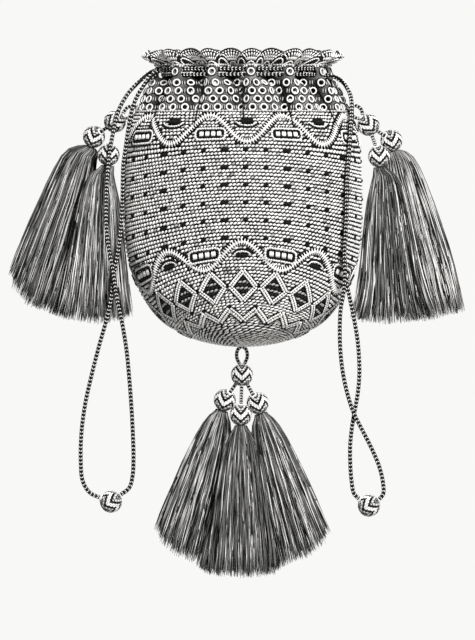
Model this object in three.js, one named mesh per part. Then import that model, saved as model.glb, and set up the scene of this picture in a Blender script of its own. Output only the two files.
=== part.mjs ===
// Tobacco pouch of crocheted silk: a plump bag with a gathered openwork band and a scalloped frill at
// the mouth, two drawcords that end in balls, and three groups of tassels hung from covered balls.
// Millimetres, +Z up, front towards -Y. The origin is the middle of the mouth, level with the drawcords.
import * as THREE from "three";

const { clamp, degToRad, lerp, smoothstep } = THREE.MathUtils;

// Sizes shared by all pieces
const GAP = 0.3;
const BODY_WALL = 1.6;
const BAND_WALL = 1.5;
const FRILL_WALL = 1.2;
const DRAWCORD_DIAMETER = 2.1;
const STEM_DIAMETER = 1.8;
const BALL_DIAMETER = 10;
const BALL_COLUMNS = 8;
const BALL_ROWS = 6;
const DRAWCORD_SIDES = 8;
const DRAWCORD_STEPS = 74;
const STEM_SIDES = 6;
const LOOP_STEPS = 8;

// Silks: soft, without metal, and dark in the cords and tassels
const SILKS = {
  bag: { color: 0x9e9480, roughness: 0.75, metalness: 0 },
  openwork: { color: 0xb2ab99, roughness: 0.75, metalness: 0 },
  frill: { color: 0xbdb5a6, roughness: 0.75, metalness: 0 },
  cord: { color: 0x0f0f0f, roughness: 0.65, metalness: 0 },
  ball: { color: 0x66635e, roughness: 0.65, metalness: 0 },
  tassel: { color: 0x42403d, roughness: 0.55, metalness: 0 },
};

// Gathers round the mouth: turns are measured from the front towards +X. They fold over to one side below
// the drawcords.
const PLEATS = 12;
const PLEAT_DEPTH = 3.8;
const PLEAT_START = -3;
const PLEAT_END = -30;
const PLEAT_TURN = degToRad(6);
const FOLD_LEAN = 0.85;
const FOLD_RUN = 5;
const COLUMNS = 4 * PLEATS;
const COLUMN_TURN = degToRad(360 / COLUMNS);
const OVAL_SQUEEZE = 0.08;

// Outside of the bag and band, from the middle of the base to above the drawcords
const SECTIONS = [
  { height: -123.8, halfWidth: 0, halfDepth: 0 },
  { height: -122.7, halfWidth: 12, halfDepth: 8.8 },
  { height: -119.4, halfWidth: 24, halfDepth: 17.6 },
  { height: -112.5, halfWidth: 35.6, halfDepth: 26.2 },
  { height: -100.5, halfWidth: 45.6, halfDepth: 33.6 },
  { height: -82, halfWidth: 52.2, halfDepth: 38.4 },
  { height: -60, halfWidth: 53.7, halfDepth: 39.5 },
  { height: -40, halfWidth: 53.2, halfDepth: 38.9 },
  { height: -28.4, halfWidth: 52, halfDepth: 37.4 },
  { height: -18.4, halfWidth: 47.2, halfDepth: 33.6 },
  { height: -9, halfWidth: 41.3, halfDepth: 29.2 },
  { height: 0, halfWidth: 36.4, halfDepth: 26 },
  { height: 6, halfWidth: 36.2, halfDepth: 25.8 },
];
const BODY_TOP = -18.2;
const OUTER_RINGS = 9;
const INNER_RINGS = 5;

// Rows of the openwork band, from the bag up. Offset rows have their holes on the folds of the gathers.
const NET_HOLE = { halfTurn: degToRad(2.7), halfHeight: 1.25, shoulder: 0.5 };
const CORD_SLOT = { halfTurn: degToRad(4.4), halfHeight: 2.7, shoulder: 1 };
const BAND_ROWS = [
  { bottom: -17.9, top: -14.2, offset: true, hole: NET_HOLE },
  { bottom: -14.2, top: -10.5, offset: false, hole: NET_HOLE },
  { bottom: -10.5, top: -6.8, offset: true, hole: NET_HOLE },
  { bottom: -6.8, top: -3.1, offset: true, hole: NET_HOLE },
  { bottom: -3.1, top: 3.1, offset: false, hole: CORD_SLOT },
];

// Frill: two scallops to each pleat, flaring outwards and less gathered towards the edge
const FRILL_BASE = 3.4;
const FRILL_FLARE = 7.6;
const FRILL_BASE_WAVE = 3;
const FRILL_EDGE_WAVE = 1.6;
const SCALLOP_NOTCH = 3.6;
const SCALLOP_PEAK = 6.5;
const FRILL_ROWS = [0, 1];

// Drawcords: each goes once round the mouth between two turns, and its two ends meet at a ball
const DRAWCORDS = [
  {
    name: "left",
    level: 1.25,
    fromTurn: -69,
    toTurn: 261,
    ball: [-59.3, -17, -193.2],
    rising: [
      [-64.5, -17, -191.3],
      [-68.8, -17, -189.2],
      [-72, -17, -184],
      [-72.9, -17, -175],
      [-72.6, -17, -162.5],
      [-71, -17, -149.9],
      [-68.4, -17, -137.9],
      [-64.7, -17, -123.3],
      [-61.5, -17, -112],
      [-59.3, -16.8, -102],
      [-57.9, -16.2, -91],
      [-56, -15.6, -80],
      [-54.9, -15, -71],
      [-54.2, -14.5, -57.6],
      [-53.8, -14, -42],
      [-52.7, -13.6, -33.8],
      [-51.5, -13.2, -25.5],
      [-50.2, -12.4, -18.3],
      [-48.4, -11.4, -12.8],
      [-46, -10.4, -8.2],
      [-43, -9.2, -4],
      [-39.4, -8.4, -0.4],
    ],
    falling: [
      [-40, 2.2, 0.6],
      [-43.8, 0.9, -1.8],
      [-47.6, -1, -5.2],
      [-51.2, -2.8, -9],
      [-54.6, -4.8, -14.4],
      [-56.6, -6.2, -19],
      [-58, -7.6, -25.2],
      [-59.2, -9.4, -31.5],
      [-60.2, -11.2, -38.4],
      [-61, -13, -47],
      [-61.5, -15, -58],
      [-61.4, -16.6, -70],
      [-60.2, -17.8, -80],
      [-58.3, -18.8, -90],
      [-57, -19, -100],
      [-54.4, -18.4, -112.5],
      [-52.4, -17.6, -124.7],
      [-51.1, -17.2, -137.9],
      [-50.2, -17, -149.9],
      [-49.5, -17, -162.5],
      [-49.2, -17, -173.9],
      [-49.6, -17, -181.4],
      [-51.1, -17, -187],
      [-54.9, -17, -190],
    ],
  },
  {
    name: "right",
    level: -1.25,
    fromTurn: 111,
    toTurn: 441,
    ball: [56.5, -24.5, -194.9],
    rising: [
      [52, -24.5, -191.8],
      [49.8, -24.5, -189.6],
      [48.7, -24.5, -184],
      [48.1, -24.5, -176.1],
      [48.1, -24.2, -167.5],
      [48.9, -23.8, -159.6],
      [50.1, -23.5, -152.4],
      [51.5, -23.3, -144.4],
      [52.2, -23.2, -135.8],
      [52, -23.2, -127.8],
      [51.2, -23.2, -119.3],
      [49.2, -23.2, -108],
      [47.6, -23.2, -100.5],
      [45.8, -23.2, -92],
      [45.5, -23.2, -82.4],
      [45.9, -23.1, -73.4],
      [46.4, -22.9, -63],
      [46.6, -22.5, -54.2],
      [46.9, -21.5, -46.2],
      [47.5, -20.1, -38.2],
      [48.1, -18.3, -30.4],
      [48.8, -13.4, -22],
      [48.9, -8.8, -15.2],
      [48.4, -5.2, -11.1],
      [47, -1.6, -7.4],
      [45, 2, -4.4],
      [42.2, 5.4, -2.4],
      [38.8, 7.8, -1.6],
    ],
    falling: [
      [39, -2.2, -1.5],
      [42.2, -3, -2.7],
      [44.8, -5.2, -4.6],
      [47, -8.4, -7.6],
      [48.4, -11.4, -11.1],
      [48.8, -14.2, -15.2],
      [48.5, -18, -22],
      [48, -21.2, -30.4],
      [47.4, -23, -38.2],
      [46.8, -24.3, -46.2],
      [46.5, -25.3, -54.2],
      [46.4, -25.7, -63],
      [45.9, -25.9, -73.4],
      [45.5, -25.9, -82.4],
      [45.7, -25.9, -92],
      [44.9, -25.9, -100.5],
      [43.8, -25.9, -106.6],
      [43.4, -25.9, -119],
      [44.2, -25.9, -131.1],
      [45.9, -26, -141],
      [48.5, -26.3, -150.3],
      [50.2, -26.4, -154.6],
      [53.8, -26, -161.6],
      [57.8, -25.4, -169.5],
      [61.1, -24.8, -177.4],
      [62.7, -24.5, -184],
      [62.9, -24.5, -189.8],
      [61.1, -24.5, -192],
    ],
  },
];

// Tassel groups: a ball looped to the bag, with one covered ball and tassel to each row of hangs. A low
// opening makes a fuller top, bow moves the upper part sideways, hemFlare widens the hem, and hemRise is how
// far the hem rises towards the left and the right.
const LOOP_SPREAD = 2.4;
const GROUPS = [
  {
    name: "left",
    ball: [-57.6, 0, -22.3],
    loopedTo: [-48.1, 0, -16.4],
    hangs: [
      {
        name: "outer",
        ball: [-67.1, 4, -29.1],
        foot: [-95.4, 8.5, -105.3],
        halfWidth: 15,
        halfDepth: 7,
        opening: 0.27,
        bow: -2.8,
        hemFlare: 0,
        hemRise: [0.125, 0],
      },
      {
        name: "inner",
        ball: [-60.5, -4, -37.3],
        foot: [-66.5, -6.5, -113],
        halfWidth: 16,
        halfDepth: 7,
        opening: 0.4,
        bow: -3,
        hemFlare: 0.15,
        hemRise: [0.02, 0.06],
      },
    ],
  },
  {
    name: "right",
    ball: [56.4, 0, -23.8],
    loopedTo: [48.9, 0, -15.8],
    hangs: [
      {
        name: "outer",
        ball: [66.8, 4, -30.8],
        foot: [87.3, 8.5, -110.7],
        halfWidth: 14.6,
        halfDepth: 7,
        opening: 0.27,
        bow: 1,
        hemFlare: 0,
        hemRise: [0.02, -0.03],
      },
      {
        name: "inner",
        ball: [61.2, -4, -38],
        foot: [67.9, -6.5, -113],
        halfWidth: 16.5,
        halfDepth: 7,
        opening: 0.4,
        bow: 2.4,
        hemFlare: 0.2,
        hemRise: [0.05, 0.02],
      },
    ],
  },
  {
    name: "bottom",
    ball: [-0.5, -0.5, -136.3],
    loopedTo: [-0.5, 0, -123.8],
    hangs: [
      {
        name: "left",
        ball: [-8.2, 1.5, -147.6],
        foot: [-28.4, 7, -217.8],
        halfWidth: 15.4,
        halfDepth: 8,
        opening: 0.4,
        bow: 0,
        hemFlare: 0,
        hemRise: [0.115, -0.06],
      },
      {
        name: "centre",
        ball: [-1, -4.5, -154.2],
        foot: [-0.9, -9.5, -227],
        halfWidth: 15.4,
        halfDepth: 8,
        opening: 0.4,
        bow: 0,
        hemFlare: 0,
        hemRise: [0.015, 0.015],
      },
      {
        name: "right",
        ball: [6.6, 1.5, -149],
        foot: [27, 7, -218.7],
        halfWidth: 15.4,
        halfDepth: 8,
        opening: 0.4,
        bow: 0,
        hemFlare: 0.1,
        hemRise: [-0.04, 0.11],
      },
    ],
  },
];

// Rings of a tassel from its hem up, its locks, and the shape of a loop from its ball to the bag
const TASSEL_DROPS = [0.8, 0.45, 0.2, 0.08, 0.02, 0];
const NECK_SPREAD = 0.17;
const LOCKS = 8;
const LOCK_GROOVE = 0.13;
const LOCK_ENDS = [1, 0.95, 0.97, 0.95];
const FLARE_POWER = 6;
const LOOP_SHAPE = [
  { along: 0.05, across: -0.5 },
  { along: 0.45, across: -1 },
  { along: 0.85, across: -0.75 },
  { along: 1, across: 0 },
  { along: 0.85, across: 0.75 },
  { along: 0.45, across: 1 },
  { along: 0.05, across: 0.5 },
];

function piece(name, geometry, silk) {
  const mesh = new THREE.Mesh(geometry, new THREE.MeshStandardMaterial(SILKS[silk]));
  mesh.name = name;
  return mesh;
}

// Collects points and quads into one indexed surface
class Surface {
  points = [];
  faces = [];

  ring(points) {
    return points.map((point) => this.points.push(point) - 1);
  }

  quad(a, b, c, d) {
    this.faces.push(a, b, c, a, c, d);
  }

  // The strip between two rings of as many points, or between a ring and a single point
  strip(lower, upper) {
    const count = Math.max(lower.length, upper.length);
    for (let i = 0; i < count; i++) {
      const next = (i + 1) % count;
      if (lower.length === 1) this.faces.push(lower[0], upper[next], upper[i]);
      else if (upper.length === 1) this.faces.push(lower[i], lower[next], upper[0]);
      else this.quad(lower[i], lower[next], upper[next], upper[i]);
    }
  }

  geometry() {
    const geometry = new THREE.BufferGeometry().setFromPoints(this.points);
    geometry.setIndex(this.faces);
    return geometry;
  }
}

// A closed surface through a row of rings
function skin(rings) {
  const surface = new Surface();
  const rows = rings.map((ring) => surface.ring(ring));
  for (let i = 1; i < rows.length; i++) surface.strip(rows[i - 1], rows[i]);
  return surface.geometry();
}

const profile = new THREE.CatmullRomCurve3(
  SECTIONS.map((row) => new THREE.Vector3(row.halfWidth, row.halfDepth, row.height)),
);

// Share of the profile at which it reaches a height
function shareAt(height) {
  let low = 0;
  let high = 1;
  for (let i = 0; i < 40; i++) {
    const middle = (low + high) / 2;
    if (profile.getPoint(middle).z < height) low = middle;
    else high = middle;
  }
  return low;
}

function columnTurn(column) {
  return PLEAT_TURN + column * COLUMN_TURN;
}

// A point of an oval wall: section holds half width, half depth and height
function ovalPoint(turn, section, outwards) {
  const angle = turn - OVAL_SQUEEZE * Math.sin(2 * turn);
  return new THREE.Vector3(
    (section.x + outwards) * Math.sin(angle),
    -(section.y + outwards) * Math.cos(angle),
    section.z,
  );
}

function gatheredPoint(turn, section, inset) {
  const depth = PLEAT_DEPTH * smoothstep(section.z, PLEAT_END, PLEAT_START);
  const lean = FOLD_LEAN * clamp((PLEAT_START - section.z) / FOLD_RUN, 0, 1);
  const phase = PLEATS * (turn - PLEAT_TURN);
  return ovalPoint(turn, section, depth * Math.cos(phase - lean * (1 - Math.cos(phase))) - inset);
}

function gatheredRing(section, inset = 0) {
  return Array.from({ length: COLUMNS }, (_, column) => gatheredPoint(columnTurn(column), section, inset));
}

// The profile moved into the wall along its own normal
function innerSection(share) {
  const section = profile.getPoint(share);
  const tangent = profile.getTangent(share);
  const length = Math.hypot(tangent.x, tangent.z);
  const inwards = (BODY_WALL * tangent.z) / length;
  const upwards = (BODY_WALL * tangent.x) / length;
  return new THREE.Vector3(section.x - inwards, section.y - inwards, section.z + upwards);
}

function bodyGeometry() {
  const top = shareAt(BODY_TOP);
  const base = new THREE.Vector3(0, 0, SECTIONS[0].height);
  const outer = [];
  const inner = [];
  for (let i = 1; i <= OUTER_RINGS; i++) {
    outer.push(gatheredRing(profile.getPoint((top * i) / OUTER_RINGS)));
  }
  for (let i = INNER_RINGS - 1; i > 0; i--) {
    inner.push(gatheredRing(innerSection((top * i) / INNER_RINGS)));
  }
  const rim = gatheredRing(profile.getPoint(top), BODY_WALL);
  const floor = base.clone().setZ(base.z + BODY_WALL);
  return skin([[base], ...outer, rim, ...inner, [floor]]);
}

// Corners of a hole about its middle, in the same order as the corners of its cell
function holeCorners(column, row) {
  const { halfTurn, halfHeight, shoulder } = row.hole;
  const turn = columnTurn(column);
  const middle = (row.bottom + row.top) / 2;
  const sides = [-1, 0, 1, 1, 0, -1];
  return sides.map((side, i) => {
    const rise = (i < 3 ? -1 : 1) * halfHeight * (side === 0 ? 1 : shoulder);
    return { turn: turn + side * halfTurn, height: middle + rise };
  });
}

// The band as a wall of cells, each with a hole through it
function bandGeometry() {
  const surface = new Surface();
  const heights = [BAND_ROWS[0].bottom, ...BAND_ROWS.map((row) => row.top)];
  const walls = [0, BAND_WALL].map((inset) =>
    heights.map((height) => surface.ring(gatheredRing(profile.getPoint(shareAt(height)), inset))),
  );
  const [outside, inside] = walls;
  BAND_ROWS.forEach((row, r) => {
    for (let column = row.offset ? 0 : 1; column < COLUMNS; column += 2) {
      const left = (column + COLUMNS - 1) % COLUMNS;
      const right = (column + 1) % COLUMNS;
      const corners = holeCorners(column, row);
      const [outerHole, innerHole] = [0, BAND_WALL].map((inset) =>
        surface.ring(corners.map((c) => gatheredPoint(c.turn, profile.getPoint(shareAt(c.height)), inset))),
      );
      const [outerCell, innerCell] = walls.map((wall) => [
        ...[left, column, right].map((c) => wall[r][c]),
        ...[right, column, left].map((c) => wall[r + 1][c]),
      ]);
      surface.strip(outerCell, outerHole);
      surface.strip(outerHole, innerHole);
      surface.strip(innerHole, innerCell);
    }
  });
  surface.strip(inside[0], outside[0]);
  surface.strip(outside.at(-1), inside.at(-1));
  return surface.geometry();
}

// The frill as a flared wall with a scalloped edge
function frillGeometry() {
  const neck = profile.getPoint(shareAt(FRILL_BASE));
  const frillRing = (row, inset) =>
    Array.from({ length: 2 * COLUMNS }, (_, i) => {
      const turn = columnTurn(i / 2);
      const gather = Math.cos(PLEATS * (turn - PLEAT_TURN));
      const rise = row * lerp(SCALLOP_NOTCH, SCALLOP_PEAK, Math.sqrt(Math.abs(gather)));
      const share = rise / SCALLOP_PEAK;
      const wave = gather * lerp(FRILL_BASE_WAVE, FRILL_EDGE_WAVE, share);
      return ovalPoint(turn, neck.clone().setZ(FRILL_BASE + rise), wave + FRILL_FLARE * share - inset);
    });
  const outer = FRILL_ROWS.map((row) => frillRing(row, 0));
  const inner = FRILL_ROWS.map((row) => frillRing(row, FRILL_WALL)).reverse();
  return skin([...outer, ...inner, outer[0]]);
}

function tube(curve, diameter, sides, steps) {
  const section = new THREE.Shape();
  for (let i = 0; i < sides; i++) {
    const angle = (2 * Math.PI * i) / sides;
    const x = (diameter / 2) * Math.cos(angle);
    const y = (diameter / 2) * Math.sin(angle);
    if (i === 0) section.moveTo(x, y);
    else section.lineTo(x, y);
  }
  return new THREE.ExtrudeGeometry(section, { steps, bevelEnabled: false, extrudePath: curve });
}

function ballGeometry() {
  return new THREE.SphereGeometry(BALL_DIAMETER / 2, BALL_COLUMNS, BALL_ROWS).rotateX(Math.PI / 2);
}

// A drawcord rises from its ball, goes round the mouth in the middle of the gathers and falls back
function drawcordGeometry(cord) {
  const mouth = profile.getPoint(shareAt(0)).setZ(cord.level);
  const points = cord.rising.map((point) => new THREE.Vector3(...point));
  for (let turn = cord.fromTurn; turn <= cord.toTurn; turn += 15) {
    points.push(ovalPoint(degToRad(turn), mouth, GAP - BAND_WALL / 2));
  }
  points.push(...cord.falling.map((point) => new THREE.Vector3(...point)));
  return tube(new THREE.CatmullRomCurve3(points), DRAWCORD_DIAMETER, DRAWCORD_SIDES, DRAWCORD_STEPS);
}

// A loop from a ball at the origin to the place on the bag where it is sewn
function loopGeometry(target) {
  const along = target.clone().normalize();
  const across = new THREE.Vector3(0, 1, 0).cross(along);
  const seat = BALL_DIAMETER / 2 + GAP;
  const reach = target.length() - STEM_DIAMETER / 2 - GAP - seat;
  const points = LOOP_SHAPE.map((row) =>
    along
      .clone()
      .multiplyScalar(seat + row.along * reach)
      .addScaledVector(across, row.across * LOOP_SPREAD),
  );
  return tube(new THREE.CatmullRomCurve3(points), STEM_DIAMETER, STEM_SIDES, LOOP_STEPS);
}

// A stem from a ball at the origin to the one that it hangs from
function stemGeometry(upper) {
  const along = upper.clone().normalize();
  const seat = BALL_DIAMETER / 2 + GAP;
  const start = along.clone().multiplyScalar(seat);
  const end = along.clone().multiplyScalar(upper.length() - seat);
  return tube(new THREE.LineCurve3(start, end), STEM_DIAMETER, STEM_SIDES, 1);
}

// A head under a ball at the origin that opens into a fluted skirt of locks with uneven ends
function tasselGeometry(foot, hang) {
  const up = foot.clone().negate().normalize();
  const top = up.clone().multiplyScalar(-BALL_DIAMETER / 2 - GAP);
  const back = new THREE.Vector3(0, 1, 0).projectOnPlane(up).normalize();
  const side = back.clone().cross(up);
  const lockRing = (dropOf) =>
    Array.from({ length: 2 * LOCKS }, (_, i) => {
      const across = Math.cos((Math.PI * i) / LOCKS);
      const deep = Math.sin((Math.PI * i) / LOCKS);
      const drop = dropOf(i, across);
      const spread = Math.max(NECK_SPREAD, drop ** hang.opening);
      const radius = spread * (i % 2 === 0 ? 1 : 1 - LOCK_GROOVE);
      const width = hang.halfWidth * (1 + hang.hemFlare * drop ** FLARE_POWER);
      const bow = hang.bow * (1 - drop) * smoothstep(drop, 0, 0.08);
      return top
        .clone()
        .lerp(foot, drop)
        .addScaledVector(side, radius * width * across + bow)
        .addScaledVector(back, radius * hang.halfDepth * deep);
    });
  const rings = TASSEL_DROPS.map((drop) => lockRing(() => drop));
  const hem = lockRing((i, across) => {
    const rise = hang.hemRise[across < 0 ? 0 : 1];
    return LOCK_ENDS[i % LOCK_ENDS.length] - rise * across ** 2;
  });
  return skin([[top.clone().lerp(foot, 0.9)], hem, ...rings, [top]]);
}

const pouch = new THREE.Group();
pouch.add(
  piece("pouch_body", bodyGeometry(), "bag"),
  piece("openwork_band", bandGeometry(), "openwork"),
  piece("scalloped_frill", frillGeometry(), "frill"),
);

for (const cord of DRAWCORDS) {
  const ball = piece(`drawcord_ball_${cord.name}`, ballGeometry(), "ball");
  ball.position.set(...cord.ball);
  pouch.add(piece(`drawcord_${cord.name}`, drawcordGeometry(cord), "cord"), ball);
}

// Each group is placed at the ball that is looped to the bag, and each hang in it at its own ball
for (const { name, ball, loopedTo, hangs } of GROUPS) {
  const group = new THREE.Group();
  group.position.set(...ball);
  const target = new THREE.Vector3(...loopedTo).sub(group.position);
  group.add(
    piece(`${name}_loop`, loopGeometry(target), "cord"),
    piece(`${name}_ball`, ballGeometry(), "ball"),
  );
  for (const hang of hangs) {
    const hung = new THREE.Group();
    const lower = new THREE.Vector3(...hang.ball);
    const foot = new THREE.Vector3(...hang.foot).sub(lower);
    hung.position.copy(lower).sub(group.position);
    hung.add(
      piece(`${name}_stem_${hang.name}`, stemGeometry(hung.position.clone().negate()), "cord"),
      piece(`${name}_tassel_ball_${hang.name}`, ballGeometry(), "ball"),
      piece(`${name}_tassel_${hang.name}`, tasselGeometry(foot, hang), "tassel"),
    );
    group.add(hung);
  }
  pouch.add(group);
}

export default pouch;
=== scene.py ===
import math
from typing import NamedTuple

import bmesh
import bpy
import numpy as np
from mathutils import Matrix, Vector


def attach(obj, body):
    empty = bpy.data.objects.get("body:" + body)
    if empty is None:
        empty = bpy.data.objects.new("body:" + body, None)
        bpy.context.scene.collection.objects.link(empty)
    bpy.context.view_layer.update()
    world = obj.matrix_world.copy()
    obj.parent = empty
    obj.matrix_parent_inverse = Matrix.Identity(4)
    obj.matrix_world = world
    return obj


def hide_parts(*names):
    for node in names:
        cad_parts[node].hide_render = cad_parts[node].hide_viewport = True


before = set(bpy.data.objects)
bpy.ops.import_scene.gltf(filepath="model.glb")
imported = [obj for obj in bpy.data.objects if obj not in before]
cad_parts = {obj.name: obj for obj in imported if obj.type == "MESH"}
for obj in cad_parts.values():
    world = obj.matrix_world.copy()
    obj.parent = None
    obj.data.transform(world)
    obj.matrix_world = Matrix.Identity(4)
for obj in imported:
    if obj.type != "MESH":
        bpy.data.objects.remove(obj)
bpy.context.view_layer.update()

chance = np.random.default_rng(7)

# Sizes that the pouch shares with its solids, in millimetres
GAP = 0.3
BODY_WALL = 1.6
BAND_WALL = 1.5
DRAWCORD_DIAMETER = 2.1
STEM_DIAMETER = 1.8
BALL_RADIUS = 5
PLEATS = 12
PLEAT_DEPTH = 3.8
PLEAT_START = -3
PLEAT_END = -30
PLEAT_TURN = math.radians(6)
FOLD_LEAN = 0.85
FOLD_RUN = 5
OVAL_SQUEEZE = 0.08
BODY_TOP = -18.2

# A full turn, and metres to a millimetre
FULL_TURN = 2 * math.pi
MM = 0.001

# Outside of the bag and band: half width, half depth, height
SECTIONS = (
    (0, 0, -123.8),
    (12, 8.8, -122.7),
    (24, 17.6, -119.4),
    (35.6, 26.2, -112.5),
    (45.6, 33.6, -100.5),
    (52.2, 38.4, -82),
    (53.7, 39.5, -60),
    (53.2, 38.9, -40),
    (52, 37.4, -28.4),
    (47.2, 33.6, -18.4),
    (41.3, 29.2, -9),
    (36.4, 26, 0),
    (36.2, 25.8, 6),
)


# Kinds of stitch and cord

class Stitch(NamedTuple):
    """A kind of stitch: pitch, half sizes along, across and out, tone, lift off the cloth, uneven tone"""

    pitch: float
    size: tuple
    tone: float
    lift: float
    spread: float = 0.05


class CordWork(NamedTuple):
    """How a cord is worked: its radius, then pitch, half sizes, tone and lean of its stitches"""

    radius: float
    pitch: float
    size: tuple
    tone: float
    lean: float


# Tone of black stitches, and a pitch so wide that a short line gets one stitch
BLACK = 0.02
LONE = 9

# Crochet rounds of the bag, counted down from its rim
BAG_DEPTH = 138
ROUND_HEIGHT = 1.58
BASE_ROUND_HEIGHT = 2.2
LAST_ROUND = 136.5
ROUND_STITCHES = 160
ROUND_OFFSET = 0.2
STITCH_WIDTH = 1.83
STITCH_SLANT = math.radians(24)
STITCH_LIFT = -0.12
LINING_DEPTH = 0.3
PATTERN_TURN = math.radians(1.2)
BASE_FROM = 70
COARSE_FROM = 101
COUNT_STEP = 8
LIGHT_FROM = 0.3

# Half sizes of their stitches: shares of the width and of a fine or coarse round's height, and out
WIDTH_SHARE = 0.62
FINE_SHARE = 0.375
COARSE_SHARE = 0.31
STITCH_OUT = 0.35

# How uneven their stitches are in slant, size, height and tone, and the share of dull ones
SLANT_SPREAD = 0.16
SIZE_SPREAD = (0.88, 1.08)
HEIGHT_SPREAD = 0.1
GROUND_TONE = 0.92
GROUND_SPREAD = 0.08
DULL_STITCHES = 0.05

# How much lower a round lies at the two sides than in front: distance below the rim, droop
DROOP = (
    (0, 0),
    (8, 1.4),
    (14, 2.8),
    (19, 5.6),
    (43, 7),
    (58, 10.5),
    (81, 18),
    (95, 16.5),
    (118, 7),
    (140, 0),
)

# Black spots: every fifth round, how many to a round, the room for one, its stitches
SPOT_ROUNDS = range(11, 37, 5)
SPOT_COLUMNS = 30
SPOT_ROOM = 1.1
SPOT_SHIFTS = (-0.5, 0.5)
SPOT_SIZE = (0.8, 0.8, 0.5)
SPOT_LIFT = 0.15
SPOT_TONE = 0.01

# Wavy ribbons: place in the repeat, middle below the rim, reach at the front
REPEATS = 8
WAVES = ((0.02, 8.2, 6.4), (-0.04, 65.4, -5.8))
RIBBON_HALF_WIDTH = 2
RIBBON_GROUND = 1.9

# Barred medallions between the waves: place in the repeat, distance below the rim, half width, half height
BARS = ((0.545, 10.9, 6.1, 1.75), (0.465, 64.4, 6.4, 1.9))
BAR_CORNER = 1.2
BAR_END = 0.65
BAR_EDGE = 0.1
BAR_BLOCKS = 4
BLOCK_STITCHES = 3
BLOCK_GAP = 0.95

# Eyes inside the waves: place in the repeat, distance below the rim, half width, half height, lid's side
EYES = ((0.02, 4.8, 4.2, 1.7, -1), (-0.038, 65.9, 3.2, 1.5, 1))
EYE_COLUMNS = np.linspace(-0.9, 0.9, 9)
EYE_GROUND = 0.75

# Diamonds round the base, hatched inside and outlined in black, and the zigzag under them
DIAMONDS = 18
DIAMOND_PLACE = -0.06
DIAMOND_DOWN = 80.3
DIAMOND_HALF_WIDTH = 5.5
DIAMOND_HALF_HEIGHT = 7.4
HATCH_TONES = (0.03, 0.42)
HATCH_REACH = 0.85
OUTLINE_REACH = 1.02
OUTLINE_GROUND = 0.22
ZIGZAG_PEAK = 92
ZIGZAG_VALLEY = 99.4
ZIGZAG_GROUND = 2

# Rows of stitches along the lines of a motif: shifts across the line, stitch
RIBBON_ROWS = (
    ((0,), Stitch(1.25, (0.36, RIBBON_HALF_WIDTH, 0.4), 0.97, 0.05)),
    ((-0.26, 0.26), Stitch(1.25, (0.85, 0.3, 0.36), 1, 0.2)),
)
DIAMOND_ROWS = (
    ((-0.55, 0.55), Stitch(1.1, (0.72, 0.6, 0.4), 1, 0.12)),
    ((0,), Stitch(1.4, (0.28, 0.26, 0.3), BLACK, 0.36)),
    ((-1.35, 1.3), Stitch(1.1, (0.7, 0.3, 0.36), 0.015, 0.1, 0.01)),
)
ZIGZAG_ROWS = (
    ((-0.7, 0.7), Stitch(1.15, (0.74, 0.75, 0.4), 1, 0.1, 0.02)),
    ((-1.65, 1.65), Stitch(1.15, (0.74, 0.32, 0.4), 0.015, 0.1, 0.02)),
    ((0,), Stitch(1.5, (0.26, 0.24, 0.3), 0.05, 0.36)),
)

# Rings round a bar and lids of an eye: how far outside it, stitch
BAR_RINGS = (
    (0.75, Stitch(1.2, (0.75, 0.5, 0.4), 0.98, 0.1, 0.01)),
    (1.7, Stitch(1.3, (0.26, 0.5, 0.45), BLACK, 0.25, 0.01)),
    (-0.1, Stitch(0.95, (0.66, 0.46, 0.46), 0.01, 0.2, 0.01)),
)
EYE_LIDS = (
    (0.6, Stitch(1.1, (0.7, 0.36, 0.4), 0.98, 0.3, 0.01)),
    (1.5, Stitch(1.1, (0.7, 0.62, 0.4), 0.01, 0.3, 0.01)),
)

# Openwork band: edges of its rows of eyelets from the bag up, the last of which has the slots
BAND_HEIGHTS = (-17.9, -14.2, -10.5, -6.8, -3.1, 3.1)
BAND_ROWS = len(BAND_HEIGHTS) - 1
SLOT_ROW = BAND_ROWS - 1
BAND_CELLS = 4 * PLEATS
NET_COLUMNS = 2 * BAND_CELLS
NET_DEPTH = 0.35
NET_WALL = 0.9
NET_STRIP = 0.6
# Tone of the net's ground, and how much lighter on the crests and darker in the folds it is painted, as
# painted light and shade
NET_TONE = 0.11
FOLD_PAINTED_SHADING = 0.1
EYELET_RADIUS = 1.2
RING_RADIUS = 1.5
OUTER_RING_RADIUS = 2.02
OUTER_RING_DEPTH = 0.2

# Upright bars between its eyelets: shift, tone
NET_BARS = ((-0.55, 0.6), (0, BLACK), (0.55, 0.6))
NET_BAR_SIZE = (0.24, 1.25, 0.3)
NET_BAR_DEPTH = 0.15

# Painted shadow lines of black stitches down its folds, from and to below the drawcords, and chains at the
# heights of its edges
FOLD_HEIGHT = -12
FOLD_DOWN = (3.6, 25)
FOLD_SHADOW_STITCH = Stitch(1.2, (0.85, 0.42, 0.4), 0.01, 0.3, 0.01)
BAND_EDGES = (-17.75, 3)
BAND_EDGE_STITCH = Stitch(1.5, (0.86, 0.5, 0.5), 0.6, 0.05)

# Frill of fans above the drawcords
FRILL_BASE = 3.4
FRILL_FLARE = 7.6
FRILL_BULGE = 0.15
SIDE_BULGE = 0.4
SIDE_CURL = 2.6
FRILL_BASE_WAVE = 3
FRILL_EDGE_WAVE = 1.6
SCALLOP_NOTCH = 3.6
SCALLOP_PEAK = 6.5
FANS = 2 * PLEATS
FRILL_DEPTHS = (0.35, 0.75)
# Tone of the frill's wall: near black, as painted shade in the gaps between its ribs
FRILL_WALL_PAINTED_SHADE = 0.03

# Ribs of a fan, in front and behind: places across it, then start and run as shares across and up
FAN_RIBS = np.linspace(-0.86, 0.86, 7)
RIB_ACROSS = (0.42, 0.58)
RIB_UP = (0.24, 0.58)
RIB_STITCHES = [Stitch(2.2, (1.25, 0.4, 0.32), 1, lift) for lift in (-0.15, -0.95)]

# Arches at its base: place in a fan, height
ARCHES = ((0, 2.6), (1, 3.9))
ARCH_HALF_WIDTH = 0.42
ARCH_FOOT = 1.4
ARCH_STITCH = Stitch(1, (0.62, 0.42, 0.36), 1, 0.1)

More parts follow.
